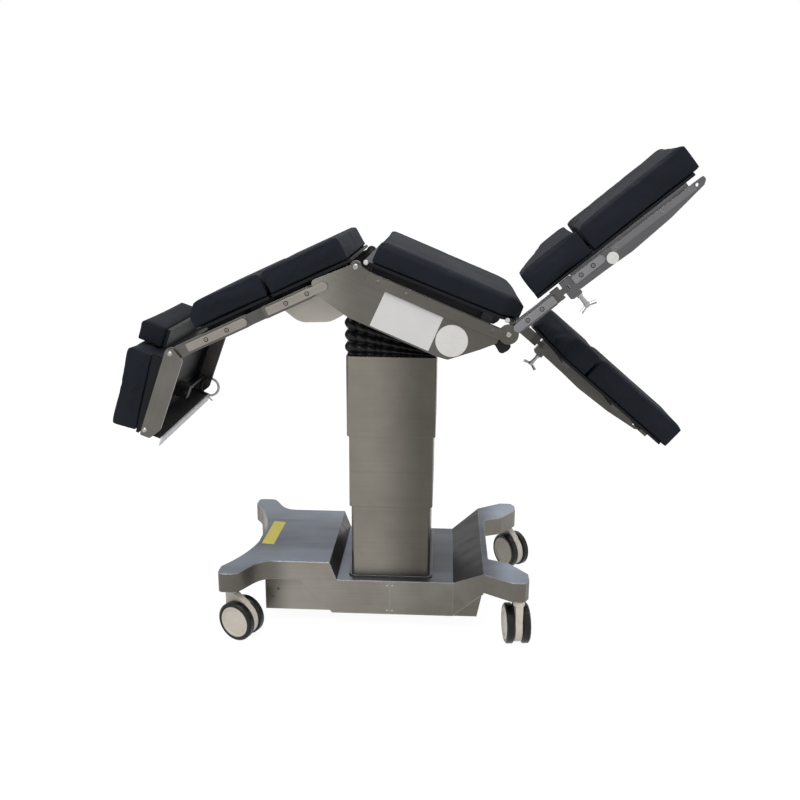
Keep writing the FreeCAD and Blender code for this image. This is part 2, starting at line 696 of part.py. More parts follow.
def side_rail():
    """Accessory rail on the near cheek plate, with its two fixing studs."""
    y1 = -PLATE_OUT
    y0 = y1 - RAIL_T
    rail = side_plate([(RAIL_START, 14.0, 9), (RAIL_END, 6.0, 3), (RAIL_END, 6.0 - RAIL_H, 3),
                       (RAIL_START, 14.0 - RAIL_H, 3)], y0, y1)
    for s in (RAIL_START + 34.0, RAIL_START + 122.0, RAIL_END - 26.0):
        n = -8.0 + 8.0 * (RAIL_END - s) / (RAIL_END - RAIL_START)
        face = V(s, y0, n)
        rail = rail.fuse(many_sided_rod(face, face - V(0, 1.6, 0), 5.5, 14, 4.0))
    return rail.removeSplitter()


def seat_frame():
    """Cross members between the cheek plates, with the bearings of the side tilt."""
    n = TILT_N + 36.0
    pieces = []
    for s0, s1 in ((TILT_S - 104.0, TILT_S - 72.0), (TILT_S + 72.0, TILT_S + 104.0)):
        member = box(s0, s1, -PLATE_IN, PLATE_IN, n - 20.0, n + 20.0)
        boss = rod(V(s0, 0, n), V(s1, 0, n), 28.0)
        member = fuse(member, boss).cut(rod(V(s0 - 1, 0, n), V(s1 + 1, 0, n), SHAFT_R + RUN_FIT))
        pieces.append(member)
    for side in (-1, 1):
        y = side * (ARM_IN - 40.0)
        pieces.append(box(TILT_S - 104.0, -60.0, min(y, y + side * 30.0), max(y, y + side * 30.0),
                          n + 10.0, SEAT_BOARD_N))
    pieces.append(box(-92.0, -60.0, -PLATE_IN, PLATE_IN, SEAT_BOARD_N - 46.0, SEAT_BOARD_N))
    return fuse(*pieces)


def knee_bracket():
    """Lock bracket behind the near knee, with its lower lobe."""
    plate = side_plate([(-80.0, -20.0, 6), (-60.0, -52.0, 10), (-22.0, -46.0, 6), (4.0, -66.0, 12),
                        (20.0, -46.0, 8), (24.0, -28.0, 8), (6.0, -26.0, 0)],
                       -ARM_IN + CLEAR + 0.6, -ARM_IN + CLEAR + 8.6)
    arm = box(-92.0, -62.0, -ARM_IN + CLEAR + 0.6, -ARM_IN + CLEAR + 8.6, -46.0, SEAT_BOARD_N - 46.0 + 20.0)
    return fuse(plate, arm)


def pivot_pin(s, n):
    """Near pin through the cheek plate into the arm behind it, with a low round head."""
    pin = rod(V(s, -PLATE_OUT, n), V(s, -ARM_IN - 0.5, n), PIN_R)
    face = V(s, -PLATE_OUT, n)
    head = many_sided_rod(face, face - V(0, PIN_HEAD_T, 0), PIN_HEAD_R + 2.0, 16, PIN_HEAD_R)
    socket = many_sided_rod(face - V(0, PIN_HEAD_T + 1.0, 0), face + V(0, 4.0, 0), 2.8, 6)
    return fuse(pin, head).cut(socket)


def board(s0, s1, half, n):
    """Flat panel under a pad."""
    return plan_plate([(s0, -half, 12), (s1, -half, 12), (s1, half, 12), (s0, half, 12)], n, n + BOARD_T)


def pad(corners, half):
    """Plain body of a pad from its side outline."""
    return side_plate(corners, -half, half)


def knee_end_plan(inset, n0, n1):
    """Plan of the seat between two heights, with both corners at the knee end cut off."""
    half = PAD_HALF - inset
    end = SEAT_PAD_END - inset
    left = SEAT_PAD_START - SEAT_BOARD_MORE if inset else SEAT_PAD_START
    cut_s, cut_y = KNEE_CORNER
    right = [(end, -half + cut_y, 10), (end, half - cut_y, 10), (end - cut_s, half, 10)]
    return plan_plate([(left, -half, 3), (end - cut_s, -half, 10)] + right + [(left, half, 3)], n0, n1)


def seat_pad():
    """Seat cushion, slightly thinner at the knee end, with bevelled long edges."""
    top = SEAT_PAD_N + SEAT_PAD_T
    edge = SEAT_PAD_EDGE
    side = pad([(SEAT_PAD_START, SEAT_PAD_N, 6), (SEAT_PAD_END, SEAT_PAD_N, 6),
                (SEAT_PAD_END, top - 22.0, 8), (SEAT_PAD_END - 36.0, top - 8.0, 14),
                (SEAT_PAD_START + 6.0, top, 10)], PAD_HALF)
    start = SEAT_PAD_START - 20.0
    corners = [V(start, -PAD_HALF, 0), V(start, PAD_HALF, 0), V(start, PAD_HALF, top - edge - 6.0),
               V(start, PAD_HALF - edge - 6.0, top), V(start, -PAD_HALF + edge + 6.0, top),
               V(start, -PAD_HALF, top - edge - 6.0)]
    length = SEAT_PAD_END - SEAT_PAD_START + 40.0
    across = Part.Face(Part.makePolygon(corners + corners[:1])).extrude(V(length, 0, 0))
    plan = knee_end_plan(0.0, SEAT_PAD_N - 1.0, top + 1.0)
    return side.common(across).common(plan).removeSplitter()


def seat_board():
    """Board under the seat cushion."""
    return knee_end_plan(BOARD_IN, SEAT_BOARD_N, SEAT_BOARD_N + BOARD_T)


def pad_pegs():
    """Light buttons that hold the seat cushion's straps, two on each side."""
    n = SEAT_BOARD_N + BOARD_T / 2
    pegs = []
    for s, root in ((SEAT_PAD_START - 6.0, 30.0), (-19.0, 60.0)):
        face = V(s, -PAD_HALF - 1.5, n)
        foot = many_sided_rod(V(s, -PAD_HALF + root, n), face, 3.0, 8)
        cap = many_sided_rod(face, face - V(0, 4.0, 0), 7.5, 14, 5.5)
        pegs.append(fuse(foot, cap).cut(seat_board()))
    return Part.makeCompound(pegs + [mirror(peg) for peg in pegs])


# Side bars, shared by the back and the legs, drawn along +s from their pivot

def capped_bar(start, end, cap_start, cap_end, centre):
    """Outer bar with its raised, round-ended cap and two screws; faces the near side."""
    half = BAR_H / 2
    bar = side_plate([(start, centre - half, 5), (end, centre - half, 3),
                      (end, centre + half, 3), (start, centre + half, 5)], -CAP_IN, -ARM_OUT)
    half = CAP_H / 2
    cap = side_plate([(cap_start, centre - half, half - 0.01), (cap_end, centre - half, 4),
                      (cap_end, centre + half, 4), (cap_start, centre + half, half - 0.01)],
                     -CAP_OUT, -CAP_IN)
    body = fuse(bar, cap)
    return add_cap_screws(body, cap_start, cap_end, centre)


def add_cap_screws(body, cap_start, cap_end, centre):
    """Countersunk screws along a cap."""
    span = cap_end - cap_start
    for share in (0.33, 0.68):
        s = cap_start + share * span
        top = V(s, -CAP_OUT - 0.6, centre)
        seat = V(s, -CAP_OUT + 2.2, centre)
        body = body.cut(many_sided_rod(top - V(0, 1, 0), seat, BAR_SCREW_R + 1.6, 14))
        body = body.fuse(many_sided_rod(top, seat, BAR_SCREW_R, 14))
    return body.removeSplitter()


def inner_arm(length, centre, height):
    """Arm behind the cheek plate, from the pivot to the bar."""
    half = height / 2
    arm = side_plate([(0.0, centre - half, 0), (length, centre - half, 3), (length, centre + half, 3),
                      (0.0, centre + half, 0)], -ARM_OUT, -ARM_IN)
    eye = rod(V(0, -ARM_OUT, 0), V(0, -ARM_IN, 0), EYE_R)
    bore = rod(V(0, -ARM_OUT - 1, 0), V(0, -ARM_IN + 1, 0), PIN_R + RUN_FIT)
    return fuse(arm, eye).cut(bore)


def towards_head(shape):
    """Turns a piece drawn along +X so that it points to the head end."""
    return shape.mirror(V(0, 0, 0), V(1, 0, 0))


# Back section

def lower_back_bar():
    """Near side bar of the lower back, with the arm that turns on the back pivot."""
    bar = capped_bar(LOBE_REACH + 8.0, LOWER_BAR_END, 95.0, LOWER_BAR_END - 10.0, -BAR_DROP)
    arm = inner_arm(LOWER_BAR_END, -BAR_DROP, BAR_H - 3.0)
    return towards_head(fuse(bar, arm))


def lower_back_frame():
    """Cross tubes of the lower back and the bearers that carry its board."""
    top = BOARD_N
    pieces = []
    for s in (LOBE_REACH + 16.0, LOWER_BAR_END - 44.0):
        pieces.append(box(-s - 30.0, -s, -ARM_IN, ARM_IN, -BAR_DROP - 12.0, -BAR_DROP + 14.0))
    for y in (-170.0, 140.0):
        pieces.append(box(-LOWER_PAD_END, -40.0, y, y + 30.0, -BAR_DROP + 4.0, top))
    return fuse(*pieces)


def lower_back_pad():
    """Lower back cushion."""
    n = BOARD_N + BOARD_T
    return pad([(-BACK_PAD_START, n, 5), (-BACK_PAD_START - 5.0, n + PAD_T, 8),
                (-LOWER_PAD_END + 1.0, n + PAD_T, 5), (-LOWER_PAD_END + 1.0, n, 5)], PAD_HALF)


def belly_cover():
    """Rounded housing under the lower back, which encloses the cylinder of the back."""
    outline = [(-88.0, -30.0, 6), (-88.0, -118.0, 14), (-152.0, -123.0, 70), (-238.0, -86.0, 60),
               (-268.0, -24.5, 6)]
    outer = side_plate(outline, -190.0, 190.0)
    inner = side_plate([(-91.0, -20.0, 0), (-91.0, -115.0, 11), (-151.0, -120.0, 66),
                        (-235.0, -83.0, 56), (-262.0, -20.0, 0)], -187.0, 187.0)
    return outer.cut(inner)


def back_coupling():
    """Near plug block between the lower and upper side bars, with its two screws."""
    half = BAR_H / 2 - 1.5
    block = side_plate([(LOWER_BAR_END, -BAR_DROP - half, 0), (COUPLING_END, -BAR_DROP - half, 0),
                        (COUPLING_END, -BAR_DROP + half, 0), (LOWER_BAR_END, -BAR_DROP + half, 0)],
                       -PLATE_OUT + 1.0, -ARM_IN)
    for n in (-BAR_DROP - 9.0, -BAR_DROP + 9.0):
        face = V(LOWER_BAR_END + 12.0, -PLATE_OUT + 1.0, n)
        block = block.fuse(many_sided_rod(face, face - V(0, 1.5, 0), 4.2, 12, 3.2))
    return towards_head(block.removeSplitter())


def upper_back_bar():
    """Near side bar of the upper back, which ends in the eye of the head hinge."""
    start = COUPLING_END
    bar = capped_bar(start, UPPER_BAR_END - 24.0, start + 2.0, UPPER_BAR_END - 50.0, -BAR_DROP)
    half = BAR_H / 2
    pivot_s, drop = HEAD_PIVOT
    tail = side_plate([(start, -BAR_DROP - half, 0), (UPPER_BAR_END - 4.0, -BAR_DROP - half, 10),
                       (UPPER_BAR_END - 4.0, -BAR_DROP + half, 10), (start, -BAR_DROP + half, 0)],
                      -ARM_OUT, -ARM_IN)
    eye = rod(V(pivot_s, -ARM_OUT, -drop), V(pivot_s, -ARM_IN, -drop), 17.0)
    bore = rod(V(pivot_s, -ARM_OUT - 1, -drop), V(pivot_s, -ARM_IN + 1, -drop), PIN_R + RUN_FIT)
    return towards_head(fuse(bar, tail, eye).cut(bore))


def upper_back_frame():
    """Cross tubes of the upper back and the bearers that carry its board."""
    pieces = []
    for s in (COUPLING_END + 8.0, UPPER_PAD_END - 30.0):
        pieces.append(box(-s - 30.0, -s, -ARM_IN, ARM_IN, -BAR_DROP - 12.0, -BAR_DROP + 14.0))
    for y in (-170.0, 140.0):
        pieces.append(box(-UPPER_PAD_END + 4.0, -LOWER_PAD_END - 2.0, y, y + 30.0, -BAR_DROP + 4.0, BOARD_N))
    return fuse(*pieces)


def upper_back_pad():
    """Upper back cushion with its bevel at the head end."""
    n = BOARD_N + BOARD_T
    return pad([(-LOWER_PAD_END - 1.0, n, 5), (-LOWER_PAD_END - 1.0, n + PAD_T, 5),
                (-UPPER_PAD_END + PAD_BEVEL, n + PAD_T, 12), (-UPPER_PAD_END, n + PAD_T - 34.0, 10),
                (-UPPER_PAD_END, n, 5)], PAD_HALF)


# Head section, drawn from its pivot towards the head

def head_plate():
    """Near side plate of the head section."""
    plate = side_plate([(-4.0, 17.0, 12), (10.0, 15.0, 8), (HEAD_PLATE_L, 10.0, 6), (HEAD_PLATE_L, -22.0, 10),
                        (HEAD_PLATE_L - 36.0, -44.0, 16), (4.0, -42.0, 18), (-18.0, -4.0, 16)],
                       -PLATE_OUT, -PLATE_IN)
    for s, n in ((0.0, 0.0), HEAD_RIVET):
        plate = plate.cut(rod(V(s, -PLATE_OUT - 1, n), V(s, -PLATE_IN + 1, n), PIN_R))
    return towards_head(plate)


def head_pins():
    """Domed rivets of the head section: the hinge pins and the end fixings."""
    pins = []
    for s, n, inner in ((0.0, 0.0, ARM_IN + 0.5), HEAD_RIVET + (PLATE_IN,)):
        shank = rod(V(-s, -PLATE_OUT, n), V(-s, -inner, n), PIN_R)
        face = V(-s, -PLATE_OUT, n)
        dome = many_sided_rod(face, face - V(0, PIN_HEAD_T + 1.0, 0), PIN_HEAD_R + 1.0, 16, PIN_HEAD_R - 2.0)
        pins.append(fuse(shank, dome))
    return pins


def head_slope(s):
    """Height of the face between the padded base and the main cushion at a length s."""
    start = -HEAD_PAD_START
    end = start - HEAD_PAD_L + HEAD_PAD_TUCK
    n0, n1 = HEAD_PAD_IN
    return n0 + (n1 - n0) * (s - start) / (end - start)


def head_box():
    """Wedge-shaped padded base of the head section, with the narrow board of the tongue."""
    half = HEAD_PAD_HALF - 6.0
    s0 = -HEAD_PAD_START
    s1 = s0 - HEAD_PAD_L + HEAD_PAD_TUCK
    n0 = HEAD_PAD_IN[0]
    wedge = side_plate([(s0, HEAD_BOX_N, 0), (s0, head_slope(s0), 0), (s1, head_slope(s1), 0),
                        (s1, HEAD_BOX_N, 0)], -half, half)
    tongue = box(s0 - 1.0, TONGUE_END - 6.0, -TONGUE_HALF + 8.0, TONGUE_HALF - 8.0, n0 - 10.0, n0)
    return fuse(wedge, tongue).cut(head_pad_main())


def head_cross_plate():
    """Bent plate across the end of the head section, between its side plates, with its lip."""
    s1 = HEAD_PLATE_L - 8.0
    web = box(-s1, -s1 + 4.0, -PLATE_IN, PLATE_IN, -52.0, HEAD_BOX_N)
    lip = box(-s1 - 22.0, -s1 + 4.0, -PLATE_IN, PLATE_IN, -56.0, -52.0)
    seat = box(-s1, -s1 + 40.0, -PLATE_IN, PLATE_IN, HEAD_BOX_N - 4.0, HEAD_BOX_N)
    near = box(-70.0, -40.0, -PLATE_IN, PLATE_IN, HEAD_BOX_N - 12.0, HEAD_BOX_N)
    return fuse(web, lip, seat, near)


def head_lock():
    """Release gear under the head section: lock block, cross rod and hoop lever at the far side."""
    s = 205.0
    block = box(-s - 22.0, -s + 22.0, 40.0, 78.0, -24.0, HEAD_BOX_N)
    shaft = many_sided_rod(V(-s, 40.0, -12.0), V(-s, PLATE_IN, -12.0), 5.0, 8)
    knob = many_sided_rod(V(-s, 42.0, -12.0), V(-s, 28.0, -12.0), 8.0, 12)
    centre = V(-s - 22.0, PLATE_IN - 22.0, -50.0)
    rim = [centre + V(HOOP_R * math.cos(math.radians(a)), 0, HOOP_R * math.sin(math.radians(a)))
           for a in range(0, 361, 24)]
    hoop = fuse(*[many_sided_rod(rim[i] + (rim[i] - rim[i + 1]) * 0.08, rim[i + 1], 4.5, 6)
                  for i in range(len(rim) - 1)])
    lever = many_sided_rod(centre + V(-HOOP_R, 0, 0), centre + V(-HOOP_R - 14.0, 0, -24.0), 3.0, 8)
    stay = many_sided_rod(centre + V(HOOP_R * 0.55, 0, HOOP_R * 0.83), V(-s, PLATE_IN - 22.0, -12.0), 5.0, 8)
    return fuse(block, shaft, knob, hoop, lever, stay)


def head_pad_main():
    """Main head cushion, which thins towards its end."""
    s0 = -HEAD_PAD_START
    s1 = s0 - HEAD_PAD_L
    n0, n1 = HEAD_PAD_IN
    m0, m1 = HEAD_PAD_OUT
    return pad([(s0, n0, 0), (s0, m0, 14), (s1 + 1.0, m1, 12), (s1 + HEAD_PAD_TUCK, n1, 0)], HEAD_PAD_HALF)


def head_pad_tongue():
    """Narrow cushion that bridges towards the back."""
    n0 = HEAD_PAD_IN[0]
    m0 = HEAD_PAD_OUT[0]
    s0 = -HEAD_PAD_START + 1.0
    return pad([(s0, n0, 6), (TONGUE_END, n0, 8), (TONGUE_END - 2.0, m0 + 5.0, 12), (s0, m0 + 2.0, 4)],
               TONGUE_HALF)


# Leg sections; the near leg is drawn and the far leg is its mirror image

BLOCK_START = 198.0
BLOCK_END = 236.0
PIVOT_Y = -PLATE_IN + 1.0
TONGUE_HALF_N = 7.5


def leg_arm():
    """Thigh arm from the knee to the coupling."""
    bar = capped_bar(KNEE_ROUND + 7.0, ARM_END, 20.0, ARM_END + 2.0, 0.0)
    arm = inner_arm(ARM_END, 0.0, BAR_H - 3.0)
    return fuse(bar, arm)


def leg_coupling():
    """Dark end block of the arm, with the tongue and pin that the leg section swings on."""
    half = BAR_H / 2 - 1.0
    block = box(ARM_END, ARM_END + 28.0, -PLATE_OUT + 1.0, -ARM_IN, -half, half + 3.0)
    tongue = box(ARM_END + 20.0, SPLAY_S, PIVOT_Y - 8.0, PIVOT_Y + 8.0, -TONGUE_HALF_N, TONGUE_HALF_N)
    nose = rod(V(SPLAY_S, PIVOT_Y, -TONGUE_HALF_N), V(SPLAY_S, PIVOT_Y, TONGUE_HALF_N), 8.0)
    pin = rod(V(SPLAY_S, PIVOT_Y, -28.0), V(SPLAY_S, PIVOT_Y, 23.0), 4.0)
    block = fuse(block, tongue, nose, pin)
    for n in (-8.0, 10.0):
        face = V(ARM_END + 10.0, -PLATE_OUT + 1.0, n)
        block = block.fuse(many_sided_rod(face, face - V(0, 1.5, 0), 4.2, 12, 3.2))
    return block.removeSplitter()


def leg_clamp():
    """Clamp block of the leg section, slotted for the tongue and bored for pin and knob."""
    y0 = PIVOT_Y - 9.0
    y1 = PIVOT_Y + 9.0
    block = side_plate([(BLOCK_START, 25.0, 2), (BLOCK_START, -30.0, 3), (BLOCK_START + 8.0, -35.0, 3),
                        (BLOCK_END, -35.0, 3), (BLOCK_END, 25.0, 2)], y0, y1)
    slot = box(BLOCK_START - 1, SPLAY_S + 8.6, y0 - 1, y1 + 1, -TONGUE_HALF_N - CLEAR, TONGUE_HALF_N + CLEAR)
    bore = rod(V(SPLAY_S, PIVOT_Y, -28.0 - CLEAR), V(SPLAY_S, PIVOT_Y, 23.0 + CLEAR), 4.0 + RUN_FIT)
    knob = rod(V(BLOCK_END - 12.0, PIVOT_Y, -36.0), V(BLOCK_END - 12.0, PIVOT_Y, -14.0), 5.0 + RUN_FIT)
    return block.cut(slot).cut(bore).cut(knob)


def leg_plate():
    """Tapered side plate of the leg section with its cap, upper strip, pull-through hole and rivets."""
    y0 = -CAP_IN
    y1 = -PLATE_IN
    plate = side_plate([(BLOCK_END, 22.0, 0), (BLOCK_END, -24.0, 3), (330.0, -26.0, 20), (410.0, -30.0, 60),
                        (545.0, -23.0, 120), (LEG_PLATE_TIP - 12.0, -7.0, 8), (LEG_PLATE_TIP, 2.0, 4),
                        (LEG_PLATE_TIP, 14.0, 3), (400.0, 18.0, 60)], y0, y1)
    half = CAP_H / 2
    cap = side_plate([(BLOCK_END - 2.0, 8.0 - half, 4), (340.0, 8.0 - half, half - 0.01),
                      (340.0, 8.0 + half, half - 0.01), (BLOCK_END - 2.0, 8.0 + half, 4)], -CAP_OUT, y0)
    strip = side_plate([(STRIP_START, 16.0, 8.9), (STRIP_START, -2.0, 8.9), (STRIP_END, -4.0, 3),
                        (STRIP_END, 15.0, 3)], y0 - STRIP_T, y0)
    body = add_cap_screws(fuse(plate, cap, strip), BLOCK_END - 14.0, 340.0, 8.0)
    hole = rod(V(TIP_HOLE_S, y0 - 3, 5.0), V(TIP_HOLE_S, y1 + 1, 5.0), TIP_HOLE_R)
    for s in (STRIP_START + 15.0, 534.0, 622.0):
        face = V(s, y0 - STRIP_T, 6.0)
        body = body.fuse(many_sided_rod(face, face - V(0, 1.4, 0), 4.0, 12, 3.0))
    return body.cut(hole).removeSplitter()


def leg_bearer():
    """Channel that joins the side plate to the board, with stiffening cross ribs."""
    y1 = -LEG_GAP - 30.0
    n0 = LEG_PAD_N - BOARD_T
    web = box(BLOCK_END + 2.0, LEG_PAD_END - 60.0, -PLATE_IN, -PLATE_IN + 22.0, n0 - 12.0, n0)
    pieces = [web]
    for s in (BLOCK_END + 10.0, (BLOCK_END + LEG_PAD_END) / 2, LEG_PAD_END - 100.0):
        pieces.append(box(s, s + 28.0, -PLATE_IN, y1, n0 - 12.0, n0))
    return fuse(*pieces)


def leg_plan(s0, s1, edge, n0, n1, hollow):
    """Half-width plate of a leg section, with the hollow at the inner corner nearest the knee."""
    outer = -PAD_HALF + edge
    inner = -LEG_GAP - edge
    if hollow:
        cut_s, left_w = CUT_OUT
        corners = [(s0 + edge, outer, 8), (s1 - edge, outer, 6), (s1 - edge, inner, 6),
                   (s0 + cut_s, inner, 24), (s0 + edge, inner - left_w, 16)]
    else:
        corners = [(s0 + edge, outer, 8), (s1 - edge, outer, 8), (s1 - edge, inner, 8), (s0 + edge, inner, 6)]
    return plan_plate(corners, n0, n1)


def leg_board():
    """Board under both cushions of a leg."""
    return leg_plan(LEG_PAD_START, LEG_PAD_END - 24.0, BOARD_IN, LEG_PAD_N - BOARD_T, LEG_PAD_N, True)


def leg_pad_short():
    """Cushion nearest the knee, hollowed at its inner corner."""
    return leg_plan(LEG_PAD_START, LEG_SPLIT - 0.5, 0.0, LEG_PAD_N, LEG_PAD_N + LEG_PAD_T, True)


def leg_pad_long():
    """Long calf cushion."""
    return leg_plan(LEG_SPLIT + 0.5, LEG_PAD_END, 0.0, LEG_PAD_N, LEG_PAD_N + LEG_PAD_T, False)


def clamp_knob():
    """Wing screw under the clamp: thread, collar, grip shaft and two wings."""
    s = BLOCK_END - 12.0
    top = -35.0
    thread = rod(V(s, PIVOT_Y, -15.0), V(s, PIVOT_Y, top - 1.0), 5.0)
    collar = many_sided_rod(V(s, PIVOT_Y, top - CLEAR), V(s, PIVOT_Y, top - 7.0), 8.5, 16)
    shaft = many_sided_rod(V(s, PIVOT_Y, top - 6.0), V(s, PIVOT_Y, top - 35.0), 6.0, 12, 7.5)
    hub = many_sided_rod(V(s, PIVOT_Y, top - 32.0), V(s, PIVOT_Y, top - 44.0), 9.0, 12)
    wings = [many_sided_rod(V(s, PIVOT_Y, top - 38.0), V(s + side * 26.0, PIVOT_Y, top - 46.0), 4.0, 8, 5.5)
             for side in (-1, 1)]
    return fuse(thread, collar, shaft, hub, *wings)


def release_lever():
    """Bent wire lever of the near knee lock, with its ball grip."""
    path = [V(18.0, 0, -36.0), V(58.0, 0, -40.0), V(84.0, 0, -30.0), V(92.0, 0, -12.0)]
    y = -ARM_IN + 14.0
    curve = Part.BSplineCurve()
    curve.interpolate([V(p.x, y, p.z) for p in path])
    wire = Part.Wire([curve.toShape()])
    start = curve.tangent(curve.FirstParameter)[0]
    ring = Part.Wire([Part.makeCircle(2.2, V(path[0].x, y, path[0].z), start)])
    lever = wire.makePipeShell([ring], True, True)
    ball = Part.makeSphere(6.5, V(path[-1].x, y, path[-1].z))
    root = rod(V(12.0, y - 2.0, -42.0), V(12.0, y - 2.0, -24.0), 5.0)
    return fuse(lever, ball, root)


def export(name, shape):
    """Writes one node, shifted so that X = 0 is the middle of the table's length."""
    placed = shape.copy()
    placed.translate(V(COLUMN_X, 0, 0))
    placed.exportStep("parts/" + name + ".step")


def export_base():
    """Base, its inside and the fixed parts of the column."""
    export("base_cover_head_end", drilled(head_end_cover()))
    export("base_cover_foot_end", drilled(foot_end_cover()))
    export("cover_screws", cover_screws())
    export("base_chassis", chassis())
    export("power_unit", power_unit())
    export("column_foot_trim", foot_trim())
    export("column_lower_sleeve", lower_sleeve())
    for name in CASTORS:
        housing, tyres, discs = castor(name)
        export("castor_" + name + "_housing", housing)
        export("castor_" + name + "_tyres", tyres)
        export("castor_" + name + "_discs", discs)


def export_column():
    """Moving parts of the column."""
    export("column_middle_sleeve", middle_sleeve())
    export("column_upper_sleeve", upper_sleeve())
    export("tilt_pedestal", tilt_pedestal())
    export("bellows", hollow_bellows())
    export("tilt_yoke", turned(tilt_yoke(), *SEAT))


def export_seat():
    """Seat section."""
    pins = [pivot_pin(0.0, 0.0), pivot_pin(BACK_PIVOT_S, BACK_PIVOT_N)]
    pins += [mirror(pin) for pin in pins]
    export("seat_cheek_plates", turned(both(cheek_plate()), *SEAT))
    export("side_rails", turned(both(side_rail()), *SEAT))
    frame = fuse(seat_frame(), knee_bracket(), mirror(knee_bracket()))
    export("seat_frame", turned(frame, *SEAT))
    export("pivot_pins", turned(Part.makeCompound(pins), *SEAT))
    export("seat_board", turned(seat_board(), *SEAT))
    export("seat_pad", turned(seat_pad(), *SEAT))
    export("pad_pegs", turned(pad_pegs(), *SEAT))


def export_back():
    """Lower and upper back."""
    half = PAD_HALF - BOARD_IN
    export("lower_back_bars", turned(both(lower_back_bar()), *BACK))
    frames = [lower_back_frame(), upper_back_frame()]
    boards = [board(-LOWER_PAD_END + 2.0, -BACK_PAD_START, half, BOARD_N),
              board(-UPPER_PAD_END + 4.0, -LOWER_PAD_END - 2.0, half, BOARD_N)]
    export("back_frame", turned(fuse(*frames), *BACK))
    export("back_boards", turned(Part.makeCompound(boards), *BACK))
    export("lower_back_pad", turned(lower_back_pad(), *BACK))
    export("belly_cover", turned(belly_cover(), *BACK))
    export("back_couplings", turned(both(back_coupling()), *BACK))
    export("upper_back_bars", turned(both(upper_back_bar()), *BACK))
    export("upper_back_pad", turned(upper_back_pad(), *BACK))


def export_head():
    """Head section."""
    pins = head_pins()
    pins += [mirror(pin) for pin in pins]
    export("head_side_plates", turned(both(head_plate()), *HEAD))
    export("head_pins", turned(Part.makeCompound(pins), *HEAD))
    export("head_base_box", turned(head_box(), *HEAD))
    export("head_cross_plate", turned(Part.makeCompound([head_cross_plate(), head_lock()]), *HEAD))
    export("head_pad_main", turned(head_pad_main(), *HEAD))
    export("head_pad_tongue", turned(head_pad_tongue(), *HEAD))


def export_leg(side, frame, place):
    """One leg section; place puts the near drawing on its side of the table."""
    section = fuse(leg_clamp(), leg_plate(), leg_bearer())
    export("leg_" + side + "_arm", turned(place(leg_arm()), *frame))
    export("leg_" + side + "_coupling", turned(place(leg_coupling()), *frame))
    export("leg_" + side + "_plate", turned(place(section), *frame))
    export("leg_" + side + "_board", turned(place(leg_board()), *frame))
    export("leg_" + side + "_pad_short", turned(place(leg_pad_short()), *frame))
    export("leg_" + side + "_pad_long", turned(place(leg_pad_long()), *frame))
    export("leg_" + side + "_knob", turned(place(clamp_knob()), *frame))


export_base()
export_column()
export_seat()
export_back()
export_head()
export_leg("near", LEG_NEAR, lambda shape: shape)
export_leg("far", LEG_FAR, mirror)
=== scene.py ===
"""Operating table: finishes, foam cushions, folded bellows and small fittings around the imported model.

Points are in metres in the frame of the model. The lengths of a jointed section are written in millimetres
in that section's own frame: s along the section from its pivot, y across the table, n square to its face.
"""
import math

import bmesh
import bpy
import numpy as np
from mathutils import Matrix


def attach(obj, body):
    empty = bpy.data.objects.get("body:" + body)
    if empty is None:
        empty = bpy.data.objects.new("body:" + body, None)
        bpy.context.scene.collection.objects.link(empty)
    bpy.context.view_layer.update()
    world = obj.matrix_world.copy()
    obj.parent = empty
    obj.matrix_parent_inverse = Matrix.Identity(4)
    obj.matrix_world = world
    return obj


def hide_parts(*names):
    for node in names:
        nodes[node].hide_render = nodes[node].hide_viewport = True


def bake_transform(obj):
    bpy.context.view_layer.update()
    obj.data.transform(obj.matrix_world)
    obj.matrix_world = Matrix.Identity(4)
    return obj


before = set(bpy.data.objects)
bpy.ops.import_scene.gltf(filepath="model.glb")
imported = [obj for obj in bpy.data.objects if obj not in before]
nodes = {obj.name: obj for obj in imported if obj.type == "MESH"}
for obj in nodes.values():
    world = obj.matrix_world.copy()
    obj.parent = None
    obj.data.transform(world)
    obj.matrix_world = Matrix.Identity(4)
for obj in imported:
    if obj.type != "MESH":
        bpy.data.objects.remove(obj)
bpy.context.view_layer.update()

MM = 0.001
COLUMN_X = -51.8
CUSHION_GRID = 6.0
CUSHION_SHRINK = 2.6
CUSHION_CAP = 3.6
HEAD_FACE_FALL = math.degrees(math.atan2(24.0, 258.0))
CAP_FACE = 297.0
SCREW_RISE = 0.6


# Frames of the jointed sections

def section(angle, x, z):
    """Frame of a section: its pivot, its length direction and the direction square to its face."""
    turn = math.radians(angle)
    pivot = np.array([x * MM, 0.0, z * MM])
    along, out = [math.cos(turn), 0.0, -math.sin(turn)], [math.sin(turn), 0.0, math.cos(turn)]
    return pivot, np.array(along), np.array(out)


LEVEL = section(0.0, COLUMN_X, 0.0)
SEAT = section(21.5, 343.0 + COLUMN_X, 973.0)
BACK = section(-24.7, -96.61 + COLUMN_X, 1161.21)
HEAD = section(-69.0, -646.06 + COLUMN_X, 900.79)
HEAD_FACE = section(-69.0 - HEAD_FACE_FALL, -646.06 + COLUMN_X, 900.79)
LEG_NEAR = section(-39.9, 343.0 + COLUMN_X, 973.0)
LEG_FAR = section(40.3, 343.0 + COLUMN_X, 973.0)


def placed(place, s, y, n):
    """World points of section lengths: pivot + s along + y across + n square to the face."""
    s, y, n = np.broadcast_arrays(np.asarray(s, float), np.asarray(y, float), np.asarray(n, float))
    pivot, along, square = place
    across = np.array([0.0, 1.0, 0.0])
    return pivot + (s[..., None] * along + y[..., None] * across + n[..., None] * square) * MM


def flat_lengths(place, points):
    """Section lengths in metres of world points, the reverse of placed."""
    pivot, along, square = place
    rest = points - pivot
    return np.stack([rest @ along, rest[:, 1], rest @ square], axis=1)


# Meshes from whole arrays of points

